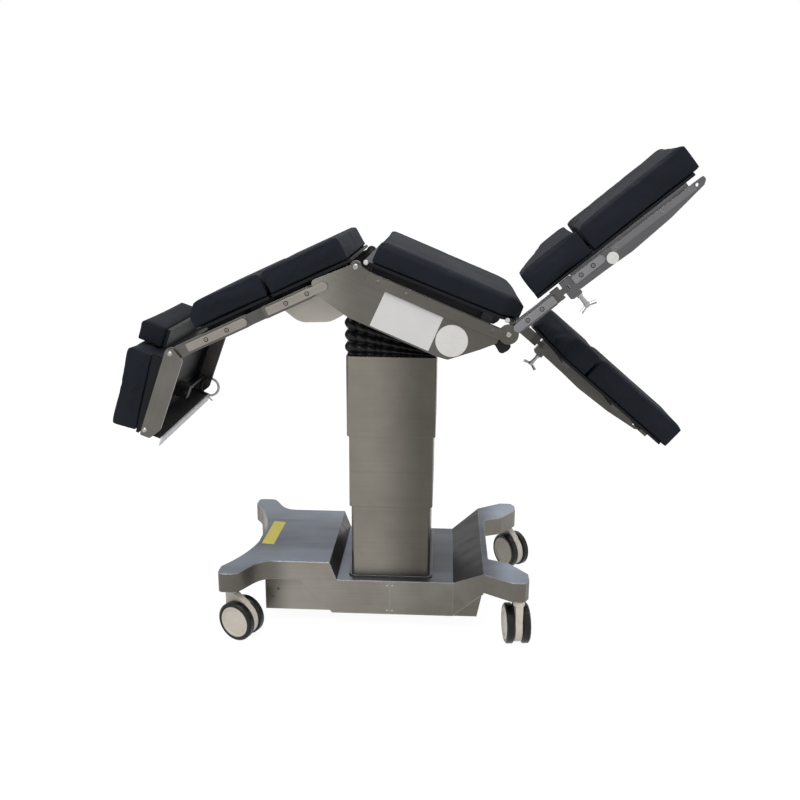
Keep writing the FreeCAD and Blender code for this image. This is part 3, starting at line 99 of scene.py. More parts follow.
def mesh_object(name, points, faces, smooth=True):
    """Object with the given points and faces, its faces turned outwards."""
    mesh = bpy.data.meshes.new(name)
    mesh.from_pydata(points.reshape(-1, 3).tolist(), [], faces)
    work = bmesh.new()
    work.from_mesh(mesh)
    bmesh.ops.remove_doubles(work, verts=work.verts, dist=1e-6)
    bmesh.ops.recalc_face_normals(work, faces=work.faces)
    work.to_mesh(mesh)
    work.free()
    mesh.polygons.foreach_set("use_smooth", np.full(len(mesh.polygons), smooth))
    made = bpy.data.objects.new(name, mesh)
    bpy.context.scene.collection.objects.link(made)
    return made


def loft(name, rings, smooth=True):
    """Closed skin over rings of points, an array ring by ring: point (i, j) joins (i, j+1), (i+1, j)."""
    count, size = rings.shape[:2]
    index = np.arange(count * size).reshape(count, size)
    ahead = np.roll(index, -1, axis=1)
    quads = np.stack([index[:-1], ahead[:-1], ahead[1:], index[1:]], axis=-1).reshape(-1, 4).tolist()
    quads += [index[0].tolist(), index[-1].tolist()]
    return mesh_object(name, rings, quads, smooth)


def lathe(name, profile, centre, axis, steps=64):
    """Turned shape: profile rows of (distance along the axis, radius) in millimetres, carried round the axis."""
    axis = np.asarray(axis, float) / np.linalg.norm(axis)
    side = np.cross(axis, [0.31, 0.17, 0.93])
    side /= np.linalg.norm(side)
    other = np.cross(axis, side)
    turns = np.linspace(0.0, 2 * np.pi, steps, endpoint=False)
    spoke = np.cos(turns)[:, None] * side + np.sin(turns)[:, None] * other
    profile = np.asarray(profile, float) * MM
    rings = (np.asarray(centre, float) + profile[:, 0, None, None] * axis
             + profile[:, 1, None, None] * spoke[None, :, :])
    return loft(name, rings)


# Node helpers and the effects that several finishes share

def add(tree, kind, inputs=None, **settings):
    """New node with its settings and with values or links on its inputs."""
    made = tree.nodes.new(kind)
    for key, value in settings.items():
        setattr(made, key, value)
    for key, value in (inputs or {}).items():
        if isinstance(value, bpy.types.NodeSocket):
            tree.links.new(value, made.inputs[key])
        else:
            made.inputs[key].default_value = value
    return made


def maths(tree, operation, first, second=0.0, clamp=False):
    """Output of one arithmetic node."""
    return add(tree, "ShaderNodeMath", {0: first, 1: second}, operation=operation, use_clamp=clamp).outputs[0]


def blend_colour(tree, share, first, second, mode="MIX"):
    """Output of a colour mix."""
    made = add(tree, "ShaderNodeMix", data_type="RGBA", blend_type=mode)
    for index, value in ((0, share), (6, first), (7, second)):
        if isinstance(value, bpy.types.NodeSocket):
            tree.links.new(value, made.inputs[index])
        elif index:
            made.inputs[index].default_value = (*value, 1.0)
        else:
            made.inputs[index].default_value = value
    return made.outputs[2]


def new_group(name, inputs, outputs):
    """Empty shader group with named inputs (name, kind, value) and outputs (name, kind)."""
    tree = bpy.data.node_groups.new(name, "ShaderNodeTree")
    for label, kind, value in inputs:
        socket = tree.interface.new_socket(label, in_out="INPUT", socket_type=kind)
        if value is not None:
            socket.default_value = value
    for label, kind in outputs:
        tree.interface.new_socket(label, in_out="OUTPUT", socket_type=kind)
    return tree, tree.nodes.new("NodeGroupInput"), tree.nodes.new("NodeGroupOutput")


def brushed_group():
    """Grain of belt-ground sheet: noise drawn out along the first axis, as a shade and as a fine height."""
    tree, given, result = new_group("brushed_grain", [
        ("Vector", "NodeSocketVector", None), ("Along", "NodeSocketFloat", 3.0),
        ("Across", "NodeSocketFloat", 760.0)],
        [("Shade", "NodeSocketFloat"), ("Height", "NodeSocketFloat")])
    stretch = add(tree, "ShaderNodeCombineXYZ", {0: given.outputs["Along"], 1: given.outputs["Across"],
                                                2: given.outputs["Across"]})
    drawn = add(tree, "ShaderNodeVectorMath", {0: given.outputs["Vector"], 1: stretch.outputs[0]},
                operation="MULTIPLY")
    fine = add(tree, "ShaderNodeTexNoise", {"Vector": drawn.outputs[0], "Scale": 1.0, "Detail": 3.0,
                                            "Roughness": 0.6})
    coarse = add(tree, "ShaderNodeTexNoise", {"Vector": drawn.outputs[0], "Scale": 0.22, "Detail": 2.0})
    total = maths(tree, "ADD", maths(tree, "MULTIPLY", fine.outputs["Fac"], 0.75),
                  maths(tree, "MULTIPLY", coarse.outputs["Fac"], 0.25))
    tree.links.new(total, result.inputs["Shade"])
    tree.links.new(fine.outputs["Fac"], result.inputs["Height"])
    return tree


def smudge_group():
    """Wiped and handled patches: slow clouds with a sharper cloud cut into them, from 0 to 1."""
    tree, given, result = new_group("handling_marks", [
        ("Vector", "NodeSocketVector", None), ("Scale", "NodeSocketFloat", 6.0)],
        [("Clouds", "NodeSocketFloat"), ("Streaks", "NodeSocketFloat")])
    cloud = add(tree, "ShaderNodeTexNoise", {"Vector": given.outputs["Vector"], "Scale": given.outputs["Scale"],
                                             "Detail": 4.0, "Roughness": 0.55, "Distortion": 0.4})
    span = add(tree, "ShaderNodeMapRange", {"Value": cloud.outputs["Fac"], "From Min": 0.3, "From Max": 0.7})
    tree.links.new(span.outputs[0], result.inputs["Clouds"])
    pulled = add(tree, "ShaderNodeMapping", {"Vector": given.outputs["Vector"], "Scale": (1.0, 7.0, 5.0)})
    streak = add(tree, "ShaderNodeTexNoise", {"Vector": pulled.outputs[0], "Scale": given.outputs["Scale"],
                                              "Detail": 5.0, "Roughness": 0.6})
    cut = add(tree, "ShaderNodeMapRange", {"Value": streak.outputs["Fac"], "From Min": 0.45, "From Max": 0.75})
    tree.links.new(cut.outputs[0], result.inputs["Streaks"])
    return tree


def bevel_highlight_group():
    """Rounded edges: the bevelled normal, and how far it leans from the face it is on, which masks a painted
    edge highlight.
    """
    tree, given, result = new_group("bevel_edge_highlight", [("Radius", "NodeSocketFloat", 0.003)],
                                    [("Edge", "NodeSocketFloat"), ("Normal", "NodeSocketVector")])
    soft = add(tree, "ShaderNodeBevel", {"Radius": given.outputs["Radius"]}, samples=4)
    flat = add(tree, "ShaderNodeNewGeometry")
    lean = add(tree, "ShaderNodeVectorMath", {0: soft.outputs[0], 1: flat.outputs["Normal"]},
               operation="DOT_PRODUCT")
    mask = add(tree, "ShaderNodeMapRange", {"Value": lean.outputs["Value"], "From Min": 0.995,
                                            "From Max": 0.78})
    tree.links.new(mask.outputs[0], result.inputs["Edge"])
    tree.links.new(soft.outputs[0], result.inputs["Normal"])
    return tree


def grain_group():
    """Pressed grain of coated fabric: small rounded cells with a slow unevenness under them."""
    tree, given, result = new_group("pressed_grain", [
        ("Vector", "NodeSocketVector", None), ("Scale", "NodeSocketFloat", 900.0)],
        [("Height", "NodeSocketFloat"), ("Tone", "NodeSocketFloat")])
    cells = add(tree, "ShaderNodeTexVoronoi", {"Vector": given.outputs["Vector"],
                                               "Scale": given.outputs["Scale"]}, feature="SMOOTH_F1")
    slow = add(tree, "ShaderNodeTexNoise", {"Vector": given.outputs["Vector"], "Scale": 9.0, "Detail": 5.0,
                                            "Roughness": 0.55})
    height = maths(tree, "ADD", maths(tree, "MULTIPLY", cells.outputs["Distance"], 0.5), slow.outputs["Fac"])
    tree.links.new(height, result.inputs["Height"])
    tree.links.new(slow.outputs["Fac"], result.inputs["Tone"])
    return tree


BRUSHED = brushed_group()
SMUDGES = smudge_group()
BEVEL_HIGHLIGHT = bevel_highlight_group()
GRAIN = grain_group()


def use(tree, group, **inputs):
    """A group placed in a material with its own values."""
    made = tree.nodes.new("ShaderNodeGroup")
    made.node_tree = group
    for key, value in inputs.items():
        if isinstance(value, bpy.types.NodeSocket):
            tree.links.new(value, made.inputs[key])
        else:
            made.inputs[key].default_value = value
    return made


def new_finish(name, turn=0.0):
    """Empty material with its shader and object coordinates, turned into a section's frame."""
    made = bpy.data.materials.new(name)
    made.use_nodes = True
    tree = made.node_tree
    tree.nodes.clear()
    out = tree.nodes.new("ShaderNodeOutputMaterial")
    shader = tree.nodes.new("ShaderNodeBsdfPrincipled")
    tree.links.new(shader.outputs[0], out.inputs[0])
    place = tree.nodes.new("ShaderNodeTexCoord")
    mapping = add(tree, "ShaderNodeMapping", {"Vector": place.outputs["Object"],
                                              "Rotation": (0.0, -math.radians(turn), 0.0)})
    return made, tree, shader, mapping.outputs[0]


def facing(tree, axis, sign, start, full):
    """Share from 0 to 1 of how far a face looks along an axis: 0 where the normal's part is start, 1 at full."""
    geometry = add(tree, "ShaderNodeNewGeometry")
    parts = add(tree, "ShaderNodeSeparateXYZ", {0: geometry.outputs["Normal"]})
    return add(tree, "ShaderNodeMapRange", {"Value": maths(tree, "MULTIPLY", parts.outputs[axis], sign),
                                            "From Min": start, "From Max": full}).outputs[0]


def along_table(tree, base, axis, start, full, factor):
    """Colour times a factor that comes in between two places on one of the table's own axes. On Y the
    distance from the middle plane counts, so that both sides are alike."""
    place = tree.nodes.new("ShaderNodeTexCoord")
    parts = add(tree, "ShaderNodeSeparateXYZ", {0: place.outputs["Object"]})
    length = maths(tree, "ABSOLUTE", parts.outputs["Y"]) if axis == "Y" else parts.outputs[axis]
    share = add(tree, "ShaderNodeMapRange", {"Value": length, "From Min": start, "From Max": full},
                interpolation_type="SMOOTHSTEP")
    return blend_colour(tree, share.outputs[0], base, blend_colour(tree, 1.0, base, (factor,) * 3, "MULTIPLY"))


def below_face(tree, base, place, start, full, colour):
    """Colour that comes in between two depths n of a section's own frame, in millimetres."""
    pivot, along, square = place
    spot = tree.nodes.new("ShaderNodeTexCoord")
    depth = add(tree, "ShaderNodeVectorMath", {0: spot.outputs["Object"], 1: tuple(square)},
                operation="DOT_PRODUCT")
    level = float(pivot @ square)
    share = add(tree, "ShaderNodeMapRange", {"Value": depth.outputs["Value"], "From Min": level + start * MM,
                                             "From Max": level + full * MM})
    return blend_colour(tree, share.outputs[0], base, colour)


def steel(name, colour, turn=0.0, rough=0.36, marks=0.5, slope_shade=None, top=None, fades=(), top_painted_light=(),
          edge=0.003, along=3.0, edge_highlight=0.22, cloud_scale=5.0, specular=0.5):
    """Brushed stainless sheet, with wiped patches and a painted highlight along its rounded edges. Two further
    colours, for sloped and for level faces, are painted shade and painted reflection. The fades change the
    colour from one place to another: on the base cover, the column and the cheek plates they are painted shade
    and painted reflection, on the back bars and the near leg plates they make the caps lighter, and the fades of
    the level faces paint shadow and light on them."""
    made, tree, shader, vector = new_finish(name, turn)
    grain = use(tree, BRUSHED, Vector=vector, Along=along)
    smudge = use(tree, SMUDGES, Vector=vector, Scale=cloud_scale)
    rim = use(tree, BEVEL_HIGHLIGHT, Radius=edge)
    base = colour
    for fade in fades:
        base = along_table(tree, base, *fade)
    # Painted shade and painted reflection: sloped faces take a dark colour and level faces a lighter one, chosen
    # by the way each face looks, and the level faces are painted lighter and darker from place to place.
    if slope_shade:
        leaning = facing(tree, "Z", 1.0, 0.15, 0.35)
        level = facing(tree, "Z", 1.0, 0.90, 0.98)
        for fade in top_painted_light:
            top = along_table(tree, top, *fade)
        base = blend_colour(tree, level, blend_colour(tree, leaning, base, slope_shade), top)
        # Sloped faces lose their metal, so that their painted shade stays dark.
        dull = maths(tree, "MULTIPLY", leaning, maths(tree, "SUBTRACT", 1.0, level))
        metal = maths(tree, "MULTIPLY", maths(tree, "SUBTRACT", 1.0, dull), 0.88)
        tree.links.new(metal, shader.inputs["Metallic"])
    else:
        shader.inputs["Metallic"].default_value = 0.88
    darker = blend_colour(tree, 1.0, base, (0.91, 0.91, 0.915), "MULTIPLY")
    lighter = blend_colour(tree, 1.0, base, (1.09, 1.09, 1.09), "MULTIPLY")
    shade = add(tree, "ShaderNodeMapRange", {"Value": grain.outputs["Shade"], "From Min": 0.3, "From Max": 0.7})
    worn = blend_colour(tree, shade.outputs[0], darker, lighter)
    cloud = maths(tree, "MULTIPLY", smudge.outputs["Clouds"], marks)
    patchy = blend_colour(tree, cloud, worn, blend_colour(tree, 1.0, worn, (0.60, 0.595, 0.59), "MULTIPLY"))
    # Painted highlight: a near-white colour along the bevelled edges.
    edge_highlight_share = maths(tree, "MULTIPLY", rim.outputs["Edge"], edge_highlight)
    final = blend_colour(tree, edge_highlight_share, patchy, (0.72, 0.72, 0.72))
    roughness = add(tree, "ShaderNodeMapRange", {"Value": smudge.outputs["Streaks"], "To Min": rough - 0.05,
                                                 "To Max": rough + 0.12})
    bump = add(tree, "ShaderNodeBump", {"Strength": 0.12, "Distance": 0.0004, "Height": grain.outputs["Height"],
                                        "Normal": rim.outputs["Normal"]})
    tree.links.new(final, shader.inputs["Base Color"])
    tree.links.new(roughness.outputs[0], shader.inputs["Roughness"])
    tree.links.new(bump.outputs[0], shader.inputs["Normal"])
    shader.inputs["Specular IOR Level"].default_value = specular
    return made


def moulded(name, colour, rough=0.45, speck=0.0002, edge=0.0012, specular=0.5, marks=0.35, lip=None):
    """Moulded plastic, paint or rubber: fine pressed grain, faint dirt clouds and a paler painted highlight
    along the edges. lip gives another colour to what lies deeper than a depth under a section's face."""
    made, tree, shader, vector = new_finish(name)
    grain = use(tree, GRAIN, Vector=vector, Scale=1400.0)
    smudge = use(tree, SMUDGES, Vector=vector, Scale=16.0)
    rim = use(tree, BEVEL_HIGHLIGHT, Radius=edge)
    dull = tuple(c * 0.74 for c in colour)
    pale = tuple(min(1.0, c * 1.25 + 0.012) for c in colour)
    cloud = maths(tree, "MULTIPLY", smudge.outputs["Clouds"], marks)
    shade = blend_colour(tree, cloud, colour, dull)
    if lip:
        shade = below_face(tree, shade, *lip)
    # Painted highlight: a paler colour along the bevelled edges.
    edge_highlight_share = maths(tree, "MULTIPLY", rim.outputs["Edge"], 0.5)
    final = blend_colour(tree, edge_highlight_share, shade, pale)
    roughness = add(tree, "ShaderNodeMapRange", {"Value": smudge.outputs["Streaks"], "To Min": rough - 0.06,
                                                 "To Max": rough + 0.1})
    bump = add(tree, "ShaderNodeBump", {"Strength": 0.25, "Distance": speck, "Height": grain.outputs["Height"],
                                        "Normal": rim.outputs["Normal"]})
    tree.links.new(final, shader.inputs["Base Color"])
    tree.links.new(roughness.outputs[0], shader.inputs["Roughness"])
    tree.links.new(bump.outputs[0], shader.inputs["Normal"])
    shader.inputs["Specular IOR Level"].default_value = specular
    return made


def coated_skin(name, colour):
    """Coated stretch fabric of the cushions: soft sheen, pressed grain and slightly uneven dye."""
    made, tree, shader, vector = new_finish(name)
    grain = use(tree, GRAIN, Vector=vector, Scale=1100.0)
    smudge = use(tree, SMUDGES, Vector=vector, Scale=4.0)
    pale = tuple(c * 1.5 for c in colour)
    shade = blend_colour(tree, grain.outputs["Tone"], colour, pale)
    dusty = maths(tree, "MULTIPLY", smudge.outputs["Streaks"], 0.15)
    final = blend_colour(tree, dusty, shade, (0.020, 0.023, 0.030))
    roughness = add(tree, "ShaderNodeMapRange", {"Value": smudge.outputs["Clouds"], "To Min": 0.58,
                                                 "To Max": 0.72})
    bump = add(tree, "ShaderNodeBump", {"Strength": 0.35, "Distance": 0.0005,
                                        "Height": grain.outputs["Height"]})
    tree.links.new(final, shader.inputs["Base Color"])
    tree.links.new(roughness.outputs[0], shader.inputs["Roughness"])
    tree.links.new(bump.outputs[0], shader.inputs["Normal"])
    shader.inputs["Specular IOR Level"].default_value = 0.02
    shader.inputs["Sheen Weight"].default_value = 0.02
    shader.inputs["Sheen Roughness"].default_value = 0.5
    return made


STEEL = (0.240, 0.220, 0.188)
BASE_SIDE = (0.300, 0.282, 0.248)
# Painted reflection: the bluish colour of the base cover's level faces.
BASE_TOP_REFLECTION = (0.120, 0.136, 0.162)
# Painted shade: the dark colour of the base cover's sloped faces.
SLOPE_SHADE = (0.030, 0.030, 0.033)
CREAM = (0.56, 0.51, 0.44)
RUBBER = (0.009, 0.009, 0.010)
NAVY = (0.0108, 0.0125, 0.0163)

# Base cover: its flanks darken towards both ends as painted shade. Its level faces carry a painted shadow right
# of the column, lighter foot pods and lighter sides than the middle, all painted light and shade. Its edges
# carry a strong painted highlight.
base_steel = steel("base_sheet_steel", BASE_SIDE, rough=0.34, edge=0.0045, marks=0.9, edge_highlight=0.38, cloud_scale=3.4,
                   specular=0.12, slope_shade=SLOPE_SHADE, top=BASE_TOP_REFLECTION,
                   fades=[("X", -0.30, 0.25, 0.66), ("X", -0.36, -0.44, 0.52)],
                   top_painted_light=[("X", -0.22, 0.12, 0.55), ("X", 0.24, 0.33, 2.8), ("Y", 0.06, 0.21, 1.6)])
# Painted reflection: the sleeves darken towards their right side.
column_steel = steel("sleeve_steel", STEEL, rough=0.33, edge=0.003, along=1.6, fades=[("X", -0.12, 0.05, 0.42)])
trim_steel = steel("trim_steel", (0.100, 0.103, 0.106), rough=0.34, edge=0.002)
# Painted shade: the cheek plates darken towards the foot end.
seat_steel = steel("cheek_plate_steel", (0.270, 0.254, 0.224), turn=21.5, edge=0.0010,
                   fades=[("X", -0.28, -0.13, 0.50), ("X", -0.10, 0.25, 0.78)])
back_steel = steel("back_bar_steel", (0.130, 0.122, 0.108), turn=-24.7, edge=0.0010, marks=0.3,
                   fades=[("Y", 0.2920, 0.2935, 2.3)])
head_steel = steel("head_plate_steel", (0.155, 0.147, 0.131), turn=-69.0, edge=0.0010)
near_steel = steel("near_leg_steel", (0.116, 0.114, 0.118), turn=-39.9, edge=0.0008, marks=0.3,
                   fades=[("Y", 0.2915, 0.2925, 1.4), ("Y", 0.2935, 0.2950, 1.4)])
far_steel = steel("far_leg_steel", (0.098, 0.093, 0.086), turn=40.3, edge=0.0008, marks=0.3)
pin_steel = steel("turned_pin_steel", (0.42, 0.41, 0.39), rough=0.22, edge=0.0008, marks=0.2)
knob_steel = steel("polished_knob_steel", (0.34, 0.33, 0.33), rough=0.16, edge=0.0008, marks=0.2)
dark_block = moulded("dark_anodised_block", (0.070, 0.067, 0.061), rough=0.38, specular=0.4, marks=0.5)
frame_paint = moulded("dark_frame_paint", (0.013, 0.013, 0.0145), rough=0.5, specular=0.15)
lock_paint = moulded("dark_lock_paint", (0.016, 0.016, 0.017), rough=0.5, specular=0.15,
                     lip=(HEAD, -50.0, -51.5, (0.62, 0.62, 0.64)))
laminate = moulded("board_laminate", (0.0085, 0.0095, 0.0115), rough=0.5, specular=0.12, edge=0.0004)
# Painted shade: the dark colour of the rings and discs in the cap screws' grooves and sockets.
screw_shade = moulded("screw_groove_shade", (0.012, 0.012, 0.012), rough=0.5, specular=0.2, edge=0.0003)
rubber = moulded("folded_rubber", RUBBER, rough=0.40, speck=0.0003, specular=0.22)
tyre = moulded("tyre_rubber", (0.009, 0.009, 0.010), rough=0.34, edge=0.002, specular=0.25)
cream = moulded("cream_castor_plastic", CREAM, rough=0.42, edge=0.0015)
peg_plastic = moulded("strap_button_plastic", (0.50, 0.50, 0.49), rough=0.38, edge=0.001)
cover_plastic = moulded("belly_cover_plastic", (0.60, 0.55, 0.48), rough=0.4, edge=0.003)
skin = coated_skin("navy_coated_skin", NAVY)
blank_plate = moulded("blank_white_plate", (0.56, 0.55, 0.54), rough=0.35, marks=0.2)
yellow_plate = moulded("blank_yellow_plate", (0.62, 0.50, 0.02), rough=0.35, marks=0.3)
blank_disc = moulded("blank_round_disc", (0.60, 0.585, 0.56), rough=0.3, marks=0.3)


def finish_node(name, material):
    """Puts one material on a node of the model."""
    slots = nodes[name].data.materials
    slots.clear()
    slots.append(material)


FINISHES = {
    base_steel: ["base_cover_head_end", "base_cover_foot_end"],
    trim_steel: ["column_foot_trim"],
    column_steel: ["column_lower_sleeve", "column_middle_sleeve", "column_upper_sleeve"],
    seat_steel: ["seat_cheek_plates", "side_rails"],
    back_steel: ["lower_back_bars", "upper_back_bars"],
    head_steel: ["head_side_plates"],
    lock_paint: ["head_cross_plate"],
    near_steel: ["leg_near_arm", "leg_near_plate"],
    far_steel: ["leg_far_arm", "leg_far_plate"],
    pin_steel: ["pivot_pins", "head_pins", "cover_screws"],
    knob_steel: ["leg_near_knob", "leg_far_knob"],
    dark_block: ["back_couplings", "leg_near_coupling", "leg_far_coupling"],
    frame_paint: ["base_chassis", "power_unit", "tilt_pedestal", "tilt_yoke", "seat_frame", "back_frame"],
    laminate: ["back_boards", "seat_board", "leg_near_board", "leg_far_board", "head_base_box"],
    cover_plastic: ["belly_cover"],
    peg_plastic: ["pad_pegs"],
    cream: [],
}
for castor in ("head_near", "head_far", "foot_near", "foot_far"):
    FINISHES[cream] += ["castor_" + castor + "_housing", "castor_" + castor + "_discs"]
    FINISHES.setdefault(tyre, []).append("castor_" + castor + "_tyres")
for material, names in FINISHES.items():
    for name in names:
        finish_node(name, material)


# Cushions

def evaluated_copy(source, name):
    """New mesh with the source's modifiers applied."""
    graph = bpy.context.evaluated_depsgraph_get()
    made = bpy.data.meshes.new_from_object(source.evaluated_get(graph))
    made.name = name
    return made


def read_points(mesh):
    """Points of a mesh as rows."""
    rows = np.empty(len(mesh.vertices) * 3)
    mesh.vertices.foreach_get("co", rows)
    return rows.reshape(-1, 3)


def cushion_blank(name, node, place):
    """Cushion's solid in its section's own frame, in even quads, and a little smaller than the solid."""
    mesh = nodes[node].data.copy()
    mesh.vertices.foreach_set("co", flat_lengths(place, read_points(mesh)).ravel())
    work = bmesh.new()
    work.from_mesh(mesh)
    bmesh.ops.remove_doubles(work, verts=work.verts, dist=1e-6)
    bmesh.ops.recalc_face_normals(work, faces=work.faces)
    work.to_mesh(mesh)
    work.free()
    blank = bpy.data.objects.new(name, mesh)
    bpy.context.scene.collection.objects.link(blank)
    remesh = blank.modifiers.new("even", "REMESH")
    remesh.mode = "VOXEL"
    remesh.voxel_size = CUSHION_GRID * MM
    blank.data = evaluated_copy(blank, name)
    blank.modifiers.clear()
    normals = np.empty(len(blank.data.vertices) * 3)
    blank.data.vertices.foreach_get("normal", normals)
    points = read_points(blank.data)
    low, high = points.min(0), points.max(0)
    points -= normals.reshape(-1, 3) * CUSHION_SHRINK * MM
    blank.data.vertices.foreach_set("co", points.ravel())
    blank.data.update()
    return blank, low, high


def swell(blanks):
    """Blows every blank up together as cloth under inner pressure, and returns the points that they reach."""
    for blank in blanks:
        cloth = blank.modifiers.new("swell", "CLOTH").settings
        cloth.use_pressure = True
        cloth.uniform_pressure_force = 4.0
        cloth.effector_weights.gravity = 0.0
        cloth.quality = 4
        cloth.tension_stiffness = 25.0
        cloth.compression_stiffness = 25.0
        cloth.bending_stiffness = 3.0
    for step in range(1, 21):
        bpy.context.scene.frame_set(step)
    reached = []
    for blank in blanks:
        mesh = evaluated_copy(blank, blank.name + "_swollen")
        reached.append(read_points(mesh))
        bpy.data.meshes.remove(mesh)
        blank.modifiers.clear()
    bpy.context.scene.frame_set(1)
    return reached


def settle(blank, reached, low, high, place, room):
    """Keeps each point's swelling under the cap, by cap * tanh(d / cap), rests the cushion on its board,
    and holds it inside its solid's box with the room given beyond each face."""
    start = read_points(blank.data)
    move = reached - start
    length = np.linalg.norm(move, axis=1, keepdims=True)
    cap = (CUSHION_SHRINK + CUSHION_CAP) * MM
    move *= cap * np.tanh(length / cap) / np.maximum(length, 1e-9)
    grown = start + move
    grown = np.clip(grown, low - np.array(room[0]) * MM, high + np.array(room[1]) * MM)
    pivot, along, square = place
    world = pivot + grown[:, :1] * along + grown[:, 1:2] * np.array([0.0, 1.0, 0.0]) + grown[:, 2:] * square
    blank.data.vertices.foreach_set("co", world.ravel())
    blank.data.update()
    blank.data.polygons.foreach_set("use_smooth", np.full(len(blank.data.polygons), True))


SIDE = 2.6
CUSHIONS = [
    # name, node, body, frame, room below each low face (s, y, n), room beyond each high face
    ("seat_cushion", "seat_pad", "seat", SEAT, (0.6, SIDE, -0.1), (0.6, SIDE, 2.6)),
    ("lower_back_cushion", "lower_back_pad", "back", BACK, (0.2, SIDE, -0.1), (0.6, SIDE, 2.6)),
    ("upper_back_cushion", "upper_back_pad", "back", BACK, (0.6, SIDE, -0.1), (0.2, SIDE, 2.6)),
    ("head_cushion", "head_pad_main", "head", HEAD_FACE, (1.0, SIDE, -0.1), (-0.2, SIDE, 2.6)),
    ("head_tongue_cushion", "head_pad_tongue", "head", HEAD, (-0.2, 1.5, -0.1), (1.0, 1.5, 2.0)),
    ("near_leg_short_cushion", "leg_near_pad_short", "leg_near_section", LEG_NEAR,
     (0.5, SIDE, -0.1), (0.1, 1.0, 2.4)),
    ("near_leg_long_cushion", "leg_near_pad_long", "leg_near_section", LEG_NEAR,
     (0.1, SIDE, -0.1), (2.0, 1.0, 2.4)),
    ("far_leg_short_cushion", "leg_far_pad_short", "leg_far_section", LEG_FAR,
     (0.5, 1.0, -0.1), (0.1, SIDE, 2.4)),
    ("far_leg_long_cushion", "leg_far_pad_long", "leg_far_section", LEG_FAR,
     (0.1, 1.0, -0.1), (2.0, SIDE, 2.4)),
]


def make_cushions():
    """All cushions: blanks, one shared simulation, and their finish."""
    made = [cushion_blank(name, node, place) for name, node, body, place, under, over in CUSHIONS]
    blanks = [row[0] for row in made]
    reached = swell(blanks)
    for (name, node, body, place, under, over), (blank, low, high), points in zip(CUSHIONS, made, reached):
        settle(blank, points, low, high, place, (under, over))
        blank.data.materials.clear()
        blank.data.materials.append(skin)
        fine = blank.modifiers.new("fine", "SUBSURF")
        fine.levels = 1
        fine.render_levels = 1
        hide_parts(node)
        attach(blank, body)


make_cushions()


# Bellows

def skirt_outline(half_x, half_y, radius):
    """Rounded rectangle with points along its long walls: (x, y) rows, and the outward direction at each."""
    quarter = np.linspace(0.0, np.pi / 2, 7)
    wall = np.linspace(1.0, -1.0, 17)[1:-1] * (half_x - radius)
    flat = np.full_like(wall, half_y)
    points, outward = [], []
    for turn, (side_x, side_y) in enumerate(((1, 1), (-1, 1), (-1, -1), (1, -1))):
        spoke = np.stack([np.cos(quarter + turn * np.pi / 2), np.sin(quarter + turn * np.pi / 2)], axis=1)
        points.append(np.array([side_x * (half_x - radius), side_y * (half_y - radius)]) + radius * spoke)
        outward.append(spoke)
        if turn in (0, 2):
            points.append(np.stack([wall, flat], axis=1) * side_y)
            outward.append(np.tile([0.0, float(side_y)], (len(wall), 1)))
    return np.concatenate(points), np.concatenate(outward)


def make_bellows():
    """Folded skirt: a rounded rectangle moved outwards by half sine waves of the height, so that full bulges
    meet in sharp creases. Its height grows from level at the column to the tilt of the seat frame at the top,
    and a flat collar stands at its foot. It is made in slices along the table."""
    folds = 3
    foot, tall, low = 883.2, 118.0, 14.0
    share = np.linspace(0.0, 1.0, folds * 10 + 1)
    bulge = np.sin(np.pi * ((share * folds) % 1.0)) ** 0.7
    size = np.concatenate([[-3.0, -3.0], -9.0 + 14.0 * bulge])
    lift = np.concatenate([[0.0, 0.06], 0.06 + 0.94 * share])
    points, outward = skirt_outline(137.5, 184.5, 14.0)
    spread = points[None, :, :] + size[:, None, None] * outward[None, :, :]
    high = np.clip((spread[..., 0] + 140.0) / 280.0, 0.0, 1.0)
    z = foot + lift[:, None] * (tall * (1.0 - high) + low * high)
    rings = placed(LEVEL, spread[..., 0], spread[..., 1], z).reshape(-1, 3)
    rows, columns = z.shape
    index = np.arange(rows * columns).reshape(rows, columns)
    ahead = np.roll(index, -1, axis=1)
    quads = np.stack([index[:-1], ahead[:-1], ahead[1:], index[1:]], axis=-1)
    middle = (points[:, 0] + np.roll(points[:, 0], -1)) / 2
    edges = [-200.0, -104.0, -78.0, -52.0, -26.0, 0.0, 26.0, 52.0, 78.0, 104.0, 200.0]
    for number, (first, last) in enumerate(zip(edges[:-1], edges[1:]), 1):
        chosen = quads[:, (middle >= first) & (middle < last)].reshape(-1, 4)
        used, faces = np.unique(chosen, return_inverse=True)
        piece = mesh_object("bellows_slice_" + str(number), rings[used], faces.reshape(-1, 4).tolist())
        wall = piece.modifiers.new("wall", "SOLIDIFY")
        wall.thickness = 0.0016
        wall.offset = -1.0
        piece.data.materials.append(rubber)
        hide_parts("bellows")
        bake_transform(piece)


make_bellows()


# Blank plates and discs

def side_face(place, y):
    """Points on a flat side at y: (u, v) are lengths along and square to the section, out is away from it."""
    side = math.copysign(1.0, y)
    return lambda u, v, out: placed(place, u, y + side * out, v)


def top_face(z):
    """Points on a level face at z: (u, v) are lengths along and across the table, out is upwards."""
    return lambda u, v, out: placed(LEVEL, u, v, z + out)


